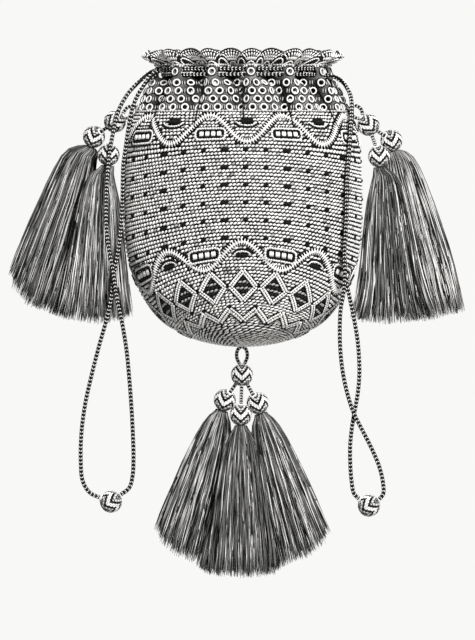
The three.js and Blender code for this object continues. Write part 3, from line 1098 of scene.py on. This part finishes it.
def short_cord(name, points):
    """A short cord, worked like the drawcords but finer"""
    threads = Threads()
    line = even_line(smooth_line(points, 10), 0.6)
    worked_cord(threads, line, np.array([0, -1, 0]), STEM_WORK)
    return belongs(threads.piece(f"{name}_silk", CORD_SILK), "cord_silk", name)


# Covered balls

def make_ball(name, centre, up, hole):
    """A round mould covered in zigzag rounds, with an eyelet where its cord goes in"""
    threads = Threads()
    up = unit(np.array(up, float))
    side = unit(np.cross((0, 1, 0), up))
    back = np.cross(up, side)
    centre = np.array(centre, float)
    bm = bmesh.new()
    bmesh.ops.create_uvsphere(bm, u_segments=16, v_segments=10, radius=BALL_RADIUS - MOULD_DEPTH)
    mould, faces = shape_of(bm)
    threads.take(centre + mould, faces, MOULD_TONE)

    def ball_surface(turn, down):
        zigzag = ZIGZAG_REACH * (1 - 2 * np.abs((turn * ZIGZAGS / math.pi) % 2 - 1))
        height = (zigzag - down) / BALL_RADIUS
        level = np.cos(height)[..., None]
        around = np.cos(turn)[..., None] * side + np.sin(turn)[..., None] * back
        return centre + (BALL_RADIUS - COVER_DEPTH) * (level * around + np.sin(height)[..., None] * up)

    turn = full_turn(240) + math.pi / 2
    for row in range(1 - len(BALL_ROWS), len(BALL_ROWS)):
        stitch = BALL_STITCH._replace(tone=BALL_ROWS[abs(row)])
        sew(threads, ball_surface, turn, np.full_like(turn, row * BALL_ROW), stitch)
    hole = unit(np.array(hole, float))
    across = unit(np.cross((0, 1, 0), hole))
    axes = np.stack([across, np.cross(hole, across), hole])[None]
    for shape, depth, size, tone in (
        (RING, COVER_DEPTH, BALL_EYELET, 0.98),
        # A black grain in the eyelet: painted shade of the hole
        (GRAIN, BALL_HOLE_DEPTH, BALL_HOLE, 0.015),
    ):
        threads.stamp(shape, (centre + hole * (BALL_RADIUS - depth))[None], axes, size, tone)
    return belongs(threads.piece(f"{name}_cover", BALL_SILK), "ball_silk", name)


# Tassels

class TasselForm:
    """Where the floss of a tassel hangs, from its ball to its hem"""

    def __init__(self, ball, foot, half_width, half_depth, opening, bow, flare, hem_rise):
        self.foot = np.array(foot, float)
        self.up = unit(ball - self.foot)
        self.top = ball - self.up * TASSEL_TOP
        self.back = unit(np.array([0, 1.0, 0]) - self.up * self.up[1])
        self.side = np.cross(self.back, self.up)
        self.half_width = half_width
        self.half_depth = half_depth
        self.opening = opening
        self.bow = bow
        self.flare = flare
        self.hem_rise = hem_rise

    def hung(self, angle, drop, share):
        """Points at an angle round the tassel, a drop below its ball and a share of its width"""
        groove = 1 - LOCK_GROOVE * (0.5 - 0.5 * np.cos(LOCKS * angle)) * np.clip(drop * 3, 0, 1)
        spread = np.maximum(NECK_SPREAD, drop**self.opening) * groove * share
        shift = self.bow * (1 - drop) * eased(np.clip(drop / BOW_RUN, 0, 1))
        width = self.half_width * (1 + self.flare * drop**FLARE_POWER)
        return (
            self.top
            + np.asarray(drop)[..., None] * (self.foot - self.top)
            + (spread * np.cos(angle) * width + shift)[..., None] * self.side
            + (spread * np.sin(angle) * self.half_depth)[..., None] * self.back
        )

    def ends_at(self, angle):
        """The drop of the hem, which rises to the left and right"""
        across = np.cos(angle)
        return 1 - np.where(across < 0, *self.hem_rise) * across**2


def tassel_core(form):
    """The inside of a tassel, black as painted shade among the strands, closed at neck and hem"""

    def placed(around, share):
        angle = FULL_TURN * around
        closed = (share < 0.001) | (share > 0.999)
        drop = share * CORE_DROP * np.where(closed, 0.9, form.ends_at(angle))
        return form.hung(angle, drop, np.where(closed, 0, CORE_SHARE))

    return shape_of(wrapped(32, 14, placed))


def strand_shape():
    """A three-sided strand of unit radius that hangs down a unit of length"""

    def placed(around, share):
        angle = FULL_TURN * around
        return np.stack([np.cos(angle), np.sin(angle), -share], 1)

    return shape_of(wrapped(3, len(STRAND_DROPS) - 1, placed, closed_ends=True), "FIXED")


STRAND_CORNERS, STRAND_FACES = strand_shape()
STRAND_RINGS = np.rint(-STRAND_CORNERS[:, 2] * (len(STRAND_DROPS) - 1)).astype(int)


def strand_points(form):
    """Places of the corners of all strands, which hang loosely side by side"""
    count = TASSEL_STRANDS
    drops = np.array(STRAND_DROPS)
    angle = FULL_TURN * (np.arange(count) + chance.uniform(0, 1, count)) / count
    share = chance.uniform(*STRAND_SHARES, count)
    length = form.ends_at(angle) + chance.uniform(*STRAND_TRIM, count)
    drift = chance.uniform(-STRAND_DRIFT, STRAND_DRIFT, count)
    sway = chance.uniform(0, FULL_TURN, count)[:, None]
    stray = chance.normal(0, STRAND_STRAY, (count, len(drops)))
    fall = drops * length[:, None]
    bent = angle[:, None] + drift[:, None] * np.sin(4 * fall + sway)
    out = np.cos(bent)[..., None] * form.side + np.sin(bent)[..., None] * form.back
    beside = np.cross(form.up, out)
    wander = STRAND_WANDER * np.sin(11 * fall + sway) * drops
    stray = stray * np.clip(4 * drops, 0, 1)
    line = form.hung(bent, fall, share[:, None]) + wander[..., None] * form.side + stray[..., None] * beside
    radius = STRAND_RADIUS * np.interp(drops, *STRAND_TAPER)
    away = STRAND_CORNERS[:, :1] * out[:, STRAND_RINGS] + STRAND_CORNERS[:, 1:2] * beside[:, STRAND_RINGS]
    return line[:, STRAND_RINGS] + radius[STRAND_RINGS][:, None] * away


def strand_tones(light):
    """Tones of the corners of all strands, in dark, middling and light wisps with some floss astray"""
    shape = (TASSEL_STRANDS, len(STRAND_DROPS))
    wisp = np.cumsum(chance.uniform(0.5, 1.5, TASSEL_STRANDS)) / WISP_STRANDS % 1
    kind = np.where(wisp < light, 2, np.where(wisp < MIDDLING_WISPS, 1, 0))[:, None]
    astray = chance.uniform(0, 1, shape) < STRAY_FLOSS
    kind = np.where(astray, chance.choice(3, shape, p=STRAY_KINDS), kind)
    tone = np.array(STRAND_TONES)[kind] * chance.uniform(*STRAND_TONE_SPREAD, shape)
    tone *= np.interp(STRAND_DROPS, *NECK_SHADE)
    return np.clip(tone, 0, 1)[:, STRAND_RINGS]


def make_tassel(name, form, light):
    """A core, black as painted shade, hung all round with loose strands of floss"""
    threads = Threads()
    threads.take(*tassel_core(form), BLACK)
    points = strand_points(form)
    threads.repeat(points, STRAND_FACES, strand_tones(light))
    return belongs(threads.piece(f"{name}_floss", TASSEL_SILK), "tassel_silk", name)


def sewn_loop(ball, sewn_to):
    """Points of the loop between a ball and the place where it is sewn to the bag"""
    along = unit(sewn_to - ball)
    across = np.cross((0, 1, 0), along)
    reach = np.linalg.norm(sewn_to - ball) - STEM_DIAMETER / 2 + GAP + LOOP_SINK - STEM_SEAT
    shape = np.array(LOOP_SHAPE)
    return ball + (STEM_SEAT + shape[:, :1] * reach) * along + shape[:, 1:] * LOOP_SPREAD * across


def make_tassel_groups():
    for group, ball, sewn_to, hangs in TASSEL_GROUPS:
        upper = np.array(ball, float)
        target = np.array(sewn_to, float)
        along = unit(target - upper)
        short_cord(f"{group}_loop", sewn_loop(upper, target))
        make_ball(f"{group}_ball", upper, along, along)
        for name, hung_ball, foot, *form, light in hangs:
            lower = np.array(hung_ball, float)
            ahead = unit(lower - upper)
            hole = unit(np.array(STEM_HOLE) - ahead)
            stem = [upper + ahead * STEM_SEAT, (upper + lower) / 2, lower + hole * STEM_SEAT]
            short_cord(f"{group}_stem_{name}", stem)
            make_ball(f"{group}_tassel_ball_{name}", lower, lower - np.array(foot), hole)
            make_tassel(f"{group}_tassel_{name}", TasselForm(lower, foot, *form), light)


# The crocheted bag

def repeat_turns(place_in_repeat, repeats):
    """Turns of the middles of all repeats"""
    return PATTERN_TURN + FULL_TURN * (np.arange(repeats) + place_in_repeat) / repeats


def from_middle(turn, place_in_repeat, repeats):
    """Turn away from the nearest middle of a repeat"""
    each = FULL_TURN / repeats
    return (turn - PATTERN_TURN - place_in_repeat * each + each / 2) % each - each / 2


def zigzag_down(turn):
    share = np.abs(from_middle(turn, DIAMOND_PLACE, DIAMONDS)) / (FULL_TURN / DIAMONDS / 2)
    return ZIGZAG_VALLEY + (ZIGZAG_PEAK - ZIGZAG_VALLEY) * share


def wave_phase(turn, place_in_repeat):
    return REPEATS * (turn - PATTERN_TURN) - FULL_TURN * place_in_repeat


def ground_tone(turn, down, row):
    """Tone of the stitches of a round: light, black under the motifs, hatched inside the diamonds"""
    tone = uneven(GROUND_TONE, GROUND_SPREAD, len(turn))
    tone[chance.uniform(0, 1, len(turn)) < DULL_STITCHES] *= 0.5
    each = girth(down) / FULL_TURN
    for place_at, middle, reach in WAVES:
        phase = wave_phase(turn, place_at)
        slope = REPEATS * reach * np.sin(phase) / each
        away = np.abs(down - middle - reach * np.cos(phase)) / np.sqrt(1 + slope**2)
        tone[away < RIBBON_GROUND] = BLACK
    for place_at, at, half_width, half_height in BARS:
        across = np.abs(from_middle(turn, place_at, REPEATS)) * each
        past_end = np.maximum(across - half_width + half_height, 0)
        tone[np.hypot(past_end, down - at) < half_height - BAR_EDGE] = BLACK
    for place_at, at, half_width, half_height, _ in EYES:
        across = from_middle(turn, place_at, REPEATS) * each
        tone[(across / half_width) ** 2 + np.abs(down - at) / half_height < EYE_GROUND] = BLACK
    across = np.abs(from_middle(turn, DIAMOND_PLACE, DIAMONDS)) * each
    inside = across / DIAMOND_HALF_WIDTH + abs(down - DIAMOND_DOWN) / DIAMOND_HALF_HEIGHT
    tone[inside < HATCH_REACH] = HATCH_TONES[row % 2]
    tone[np.abs(inside - OUTLINE_REACH) < OUTLINE_GROUND] = BLACK
    tone[np.abs(down - zigzag_down(turn)) < ZIGZAG_GROUND] = BLACK
    return tone


def crochet_rounds(side, base):
    """Rounds of stitches from the rim down, coarser in the base, with black spots in some of the side's"""
    fine = np.arange(0.5, COARSE_FROM / ROUND_HEIGHT) * ROUND_HEIGHT
    coarse_from = fine[-1] + (ROUND_HEIGHT + BASE_ROUND_HEIGHT) / 2
    coarse = np.arange(coarse_from, LAST_ROUND, BASE_ROUND_HEIGHT)
    for row, down in enumerate([*fine, *coarse]):
        height, share = (ROUND_HEIGHT, FINE_SHARE) if row < len(fine) else (BASE_ROUND_HEIGHT, COARSE_SHARE)
        stitch = STITCH_WIDTH * height / ROUND_HEIGHT
        count = min(ROUND_STITCHES, COUNT_STEP * max(1, round(girth(down) / stitch / COUNT_STEP)))
        turn = PATTERN_TURN + FULL_TURN * (np.arange(count) + ROUND_OFFSET * row) / count
        tone = ground_tone(turn, down, row)
        if row in SPOT_ROUNDS:
            away = np.abs(from_middle(turn, 0, SPOT_COLUMNS)) * girth(down) / FULL_TURN
            keep = (away > SPOT_ROOM) | (tone < LIGHT_FROM)
            spot = repeat_turns(0, SPOT_COLUMNS)
            spot = spot[ground_tone(spot, down, row) > LIGHT_FROM]
            turn = turn[keep]
            tone = tone[keep]
            spots_on(side, spot, down)
        threads = side if down < BASE_FROM else base
        lay_stitches(threads, turn, down, FULL_TURN / count, height, share, tone)


def lay_stitches(threads, turn, down, turn_step, round_height, height_share, tone):
    """One round of slanting stitches, each a little different from the next"""
    count = len(turn)
    down = np.full(count, down)
    point, along, up, out = surface_frame(bag_surface, turn, down)
    width = np.linalg.norm(bag_surface(turn + turn_step, down) - point, axis=1)
    height = np.linalg.norm(bag_surface(turn, down - round_height) - point, axis=1)
    slant = STITCH_SLANT + chance.uniform(-SLANT_SPREAD, SLANT_SPREAD, count)[:, None]
    ahead = np.cos(slant) * along + np.sin(slant) * up
    axes = np.stack([ahead, np.cross(out, ahead), out], 1)
    sizes = np.stack([WIDTH_SHARE * width, height_share * height, np.full(count, STITCH_OUT)], 1)
    sizes *= chance.uniform(*SIZE_SPREAD, (count, 1))
    moved = up * chance.uniform(-HEIGHT_SPREAD, HEIGHT_SPREAD, (count, 1)) + out * STITCH_LIFT
    threads.stamp(GRAIN, point + moved, axes, sizes, tone)


def spots_on(threads, turn, down):
    point, along, up, out = surface_frame(bag_surface, turn, np.full(len(turn), down))
    axes = np.stack([along, up, out], 1)
    for shift in SPOT_SHIFTS:
        centres = point + along * shift + out * (STITCH_LIFT + SPOT_LIFT)
        threads.stamp(GRAIN, centres, axes, SPOT_SIZE, SPOT_TONE)


def drawn_at(turn_at, down_at, across, up):
    """A line drawn in millimetres round a place on the bag, as turns and distances below the rim"""
    return turn_at + np.asarray(across) * FULL_TURN / girth(down_at), down_at - np.asarray(up)


def sew_rows(threads, line, rows):
    """Rows of stitches side by side along a line on the bag"""
    for shifts, stitch in rows:
        for shift in shifts:
            sew(threads, bag_surface, *line, stitch, shift)


def upright_stitch(threads, turn_at, down_at, across, stitch):
    """One upright stitch beside a place on the bag"""
    line = drawn_at(turn_at, down_at, np.full(8, across), np.linspace(-1, 1, 8) * stitch.size[0])
    sew(threads, bag_surface, *line, stitch)


def centred(count):
    """Whole steps on both sides of a middle"""
    return np.arange(count) - (count - 1) / 2


def rounded_bar(half_width, half_height, corner):
    """Outline of a bar with rounded corners"""
    quarter = np.linspace(0, math.pi / 2, 7)
    across = []
    up = []
    for sign_x, sign_y, start in ((1, 1, 0), (-1, 1, 1), (-1, -1, 2), (1, -1, 3)):
        angle = quarter + start * math.pi / 2
        across.append(sign_x * (half_width - corner) + corner * np.cos(angle))
        up.append(sign_y * (half_height - corner) + corner * np.sin(angle))
    across = np.concatenate([*across, across[0][:1]])
    up = np.concatenate([*up, up[0][:1]])
    along = np.concatenate([[0], np.cumsum(np.hypot(np.diff(across), np.diff(up)))])
    at = np.linspace(0, along[-1], 121)
    return np.interp(at, along, across), np.interp(at, along, up)


def ribbon_stitches(threads):
    turn = full_turn(1600)
    for place_at, middle, reach in WAVES:
        sew_rows(threads, (turn, middle + reach * np.cos(wave_phase(turn, place_at))), RIBBON_ROWS)


def barred_medallions(threads):
    """Black bars with blocks of light stitches, ringed in light and black"""
    for place_at, down_at, half_width, half_height in BARS:
        square = 2 * (half_width - BAR_END) / BAR_BLOCKS
        block_stitch = Stitch(LONE, (half_height - 0.4, 0.46, 0.4), 0.97, 0.15)
        for turn_at in repeat_turns(place_at, REPEATS):
            for grow, stitch in BAR_RINGS:
                outline = rounded_bar(half_width + grow, half_height + grow, BAR_CORNER + grow)
                sew(threads, bag_surface, *drawn_at(turn_at, down_at, *outline), stitch)
            for middle in centred(BAR_BLOCKS) * square:
                for across in middle + centred(BLOCK_STITCHES) * (square - BLOCK_GAP) / BLOCK_STITCHES:
                    upright_stitch(threads, turn_at, down_at, across, block_stitch)


def eyes_between_waves(threads):
    """Black almonds of upright stitches, with a light and a black lid"""
    angle = np.linspace(0.08, 0.92, 40) * math.pi
    for place_at, down_at, half_width, half_height, opens in EYES:
        for turn_at in repeat_turns(place_at, REPEATS):
            for column in EYE_COLUMNS:
                reach = half_height * (1 - column**2)
                stitch = Stitch(LONE, (reach, 0.15 * half_width, 0.5), 0.015, 0.15, 0.01)
                upright_stitch(threads, turn_at, down_at, column * half_width, stitch)
            for grow, stitch in EYE_LIDS:
                across = (half_width + grow) * np.cos(angle)
                up = opens * (half_height + grow) * np.sin(angle)
                sew(threads, bag_surface, *drawn_at(turn_at, down_at, across, up), stitch)


def diamond_outlines(threads):
    corners = ((0, 1), (-1, 0), (0, -1), (1, 0), (0, 1))
    for turn_at in repeat_turns(DIAMOND_PLACE, DIAMONDS):
        for (from_x, from_y), (to_x, to_y) in zip(corners, corners[1:]):
            across = np.linspace(from_x, to_x, 20) * DIAMOND_HALF_WIDTH
            up = np.linspace(from_y, to_y, 20) * DIAMOND_HALF_HEIGHT
            sew_rows(threads, drawn_at(turn_at, DIAMOND_DOWN, across, up), DIAMOND_ROWS)


def zigzag_stitches(threads):
    first = PATTERN_TURN + FULL_TURN * DIAMOND_PLACE / DIAMONDS
    edges = 2 * DIAMONDS
    steps = 20
    turn = np.linspace(first, first + FULL_TURN, edges * steps + 1)
    down = zigzag_down(turn)
    for edge in range(edges):
        points = slice(edge * steps, (edge + 1) * steps + 1)
        sew_rows(threads, (turn[points], down[points]), ZIGZAG_ROWS)


def bag_lining():
    """The wall under the stitches, black as painted shade where it shows between them, with a darkened silk
    inside the mouth as painted shade
    """
    rim_gap = 0.1
    pole = (0, 0, SECTIONS[0][2] + 0.5)

    def placed(around, share):
        turn = PATTERN_TURN + FULL_TURN * around
        down = rim_gap + (BAG_DEPTH - rim_gap) * (1 - np.maximum(share, 0.01))
        point, _, _, out = surface_frame(bag_surface, turn, down)
        return np.where((share < 0.001)[:, None], pole, point - LINING_DEPTH * out)

    mesh = cloth_mesh("bag_lining", wrapped(112, 44, placed))
    # Black all over its outside: painted shade in the gaps between the stitches
    tones = np.full(len(mesh.vertices), BLACK)
    piece = cloth_wall("bag_lining", mesh, tones, BAG_SILK, INSIDE_SILK, BODY_WALL - LINING_DEPTH)
    return belongs(piece, "bag_silk", "pouch_body")


def make_bag():
    bag_lining()
    side = Threads()
    base = Threads()
    crochet_rounds(side, base)
    belongs(side.piece("bag_side_rounds", BAG_SILK), "bag_silk")
    belongs(base.piece("bag_base_rounds", BAG_SILK), "bag_silk")
    motifs = Threads()
    ribbon_stitches(motifs)
    barred_medallions(motifs)
    eyes_between_waves(motifs)
    diamond_outlines(motifs)
    zigzag_stitches(motifs)
    belongs(motifs.piece("bag_motifs", BAG_SILK), "bag_silk")


# The openwork band

def band_turn(column):
    return PLEAT_TURN + FULL_TURN * column / NET_COLUMNS


def band_frame(column, height):
    """A point of the band with its directions along, up and out"""
    rows = surface_frame(band_surface, np.array([band_turn(column)]), np.array([-height]))
    return [row[0] for row in rows]


def row_middle(row):
    return (BAND_HEIGHTS[row] + BAND_HEIGHTS[row + 1]) / 2


def first_eyelet(row):
    """Column of the first eyelet or slot in a row; the eyelets of a row lie between those of the next"""
    return 0 if row == SLOT_ROW else row % 2


def net_cells():
    """A gathered grid with its columns joined in pairs, and the column and row of each cell"""
    bm = bmesh.new()
    bmesh.ops.create_grid(bm, x_segments=NET_COLUMNS, y_segments=BAND_ROWS, size=0.5)
    column_of = bm.verts.layers.int.new("column")
    row_of = bm.verts.layers.int.new("row")
    cell_column = bm.faces.layers.int.new("cell_column")
    cell_row = bm.faces.layers.int.new("cell_row")
    for vert in bm.verts:
        column = round((vert.co.x + 0.5) * NET_COLUMNS)
        row = round((vert.co.y + 0.5) * BAND_ROWS)
        vert[column_of] = column % NET_COLUMNS
        vert[row_of] = row
        point, _, _, out = band_frame(column, BAND_HEIGHTS[row])
        vert.co = point - NET_DEPTH * out
    bmesh.ops.remove_doubles(bm, verts=bm.verts[:], dist=0.001)
    inner = []
    for edge in bm.edges:
        column = edge.verts[0][column_of]
        row = min(vert[row_of] for vert in edge.verts)
        upright = edge.verts[1][column_of] == column
        if upright and column % 2 == first_eyelet(row):
            inner.append(edge)
            for face in edge.link_faces:
                face[cell_column] = column
                face[cell_row] = row
    bmesh.ops.dissolve_edges(bm, edges=inner, use_verts=False)
    return bm, cell_column, cell_row


def round_eyelet(cell, column, row):
    """Draws the corners of a cell onto the circle of its eyelet"""
    point, along, up, out = band_frame(column, row_middle(row))
    for vert in cell.verts:
        away = np.array(vert.co) - point
        angle = math.atan2(np.dot(away, up), np.dot(away, along))
        edge = math.cos(angle) * along + math.sin(angle) * up
        vert.co = point - NET_DEPTH * out + EYELET_RADIUS * edge


def band_net():
    """A gathered wall of eyelets, with slots for the drawcords in its top row"""
    bm, cell_column, cell_row = net_cells()
    cells = bm.faces[:]
    bmesh.ops.inset_individual(bm, faces=cells, thickness=NET_STRIP, use_even_offset=True)
    for cell in cells:
        column = cell[cell_column]
        row = cell[cell_row]
        slot = row == SLOT_ROW and column % 4 == 2
        if not slot:
            round_eyelet(cell, column, row)
    bmesh.ops.delete(bm, geom=cells, context="FACES_ONLY")
    mesh = cloth_mesh("band_net", bm)
    x, y, height = np.array([vert.co[:] for vert in mesh.vertices]).T / MM
    turn = np.arctan2(x / SECTIONS[-1][0], -y / SECTIONS[-1][1])
    gather = pleat_wave(turn, height) / pleat_depth(height)
    # Painted light and shade: the net is lighter on the crests of its gathers and darker in its folds
    tones = NET_TONE + FOLD_PAINTED_SHADING * gather
    piece = cloth_wall("band_net", mesh, tones, OPENWORK_SILK, LINING_SILK, NET_WALL)
    soft = piece.modifiers.new("soft", "SUBSURF")
    soft.levels = 1
    soft.render_levels = 1
    return belongs(piece, "openwork_silk", "openwork_band")


def eyelet_threads(threads, row):
    """Rings round the eyelets of a row, with bars between them, or slots in the top row"""
    top = row == SLOT_ROW
    columns = np.arange(first_eyelet(row), NET_COLUMNS, 4 if top else 2)
    down = np.full(len(columns), -row_middle(row))
    point, along, up, out = surface_frame(band_surface, band_turn(columns), down)
    axes = np.stack([along, up, out], 1)
    threads.stamp(RING, point, axes, RING_RADIUS, uneven(GROUND_TONE, GROUND_SPREAD, len(columns)))
    threads.stamp(FINE_RING, point - OUTER_RING_DEPTH * out, axes, OUTER_RING_RADIUS, BLACK)
    if not top:
        point, along, up, out = surface_frame(band_surface, band_turn(columns + 1), down)
        axes = np.stack([along, up, out], 1)
        for shift, tone in NET_BARS:
            centres = point + shift * along - NET_BAR_DEPTH * out
            threads.stamp(GRAIN, centres, axes, NET_BAR_SIZE, tone)


def fold_shadow_lines(threads):
    """A line of black stitches down each fold, where it turns over most sharply, as the fold's painted
    shadow
    """
    fold = np.linspace(0, FULL_TURN / PLEATS, 121)
    wave = pleat_wave(PLEAT_TURN + fold, np.full_like(fold, FOLD_HEIGHT))
    fold_turn = fold[np.argmax(np.abs(np.gradient(wave)))]
    down = np.linspace(*FOLD_DOWN, 60)
    for pleat in range(PLEATS):
        turn = PLEAT_TURN + fold_turn + FULL_TURN * pleat / PLEATS
        sew(threads, band_surface, np.full_like(down, turn), down, FOLD_SHADOW_STITCH)


def band_threads():
    """Rings and bars of the net, painted shadow lines down the folds, and a chain along either edge"""
    threads = Threads()
    for row in range(BAND_ROWS):
        eyelet_threads(threads, row)
    fold_shadow_lines(threads)
    turn = full_turn(960)
    for height in BAND_EDGES:
        sew(threads, band_surface, turn, np.full_like(turn, -height), BAND_EDGE_STITCH)
    return belongs(threads.piece("band_threads", OPENWORK_SILK), "openwork_silk")


# The scalloped frill

def fan_line(middle, across, rise):
    """A line on a fan of the frill, from shares of its half width and heights above its base"""
    return middle + across * FULL_TURN / FANS / 2, 1 - rise / scallop_edge(np.cos(across * math.pi / 2))


def frill_wall():
    """The frill's wall, closed all round, near black as painted shade between the ribs"""

    def placed(around, share):
        turn = PLEAT_TURN + FULL_TURN * around
        front = share < 0.5
        down = np.where(front, share * 2, 2 - share * 2)
        point, _, _, out = surface_frame(frill_surface, turn, np.clip(down, 0.02, 0.98))
        return point - np.where(front, *FRILL_DEPTHS)[:, None] * out

    bm = wrapped(12 * FANS, 9, placed)
    bmesh.ops.bridge_loops(bm, edges=[edge for edge in bm.edges if edge.is_boundary])
    bmesh.ops.recalc_face_normals(bm, faces=bm.faces[:])
    return shape_of(bm)


def frill_fans():
    """A scalloped wall, near black as painted shade, with ribs on both sides of each fan, arches, and rows
    along its edges
    """
    threads = Threads()
    threads.take(*frill_wall(), FRILL_WALL_PAINTED_SHADE)
    share = np.linspace(0, 1, 14)
    arch = np.linspace(0, math.pi, 24)
    for fan in range(FANS):
        middle = PLEAT_TURN + FULL_TURN * fan / FANS
        for stitch in RIB_STITCHES:
            for rib in FAN_RIBS:
                across = rib * (RIB_ACROSS[0] + RIB_ACROSS[1] * share)
                edge = scallop_edge(np.cos(across * math.pi / 2))
                line = fan_line(middle, across, edge * (RIB_UP[0] + RIB_UP[1] * share))
                sew(threads, frill_surface, *line, stitch)
        for place_at, height in ARCHES:
            across = place_at + ARCH_HALF_WIDTH * np.cos(arch)
            line = fan_line(middle, across, height * np.sin(arch) - ARCH_FOOT)
            sew(threads, frill_surface, *line, ARCH_STITCH)
    turn = full_turn(1920)
    for down, stitch in FRILL_ROWS:
        sew(threads, frill_surface, turn, np.full_like(turn, down), stitch)
    return belongs(threads.piece("frill_fans", FRILL_SILK), "frill_silk", "scalloped_frill")


photo_camera()
studio()
make_drawcords()
make_tassel_groups()
make_bag()
band_net()
band_threads()
frill_fans()
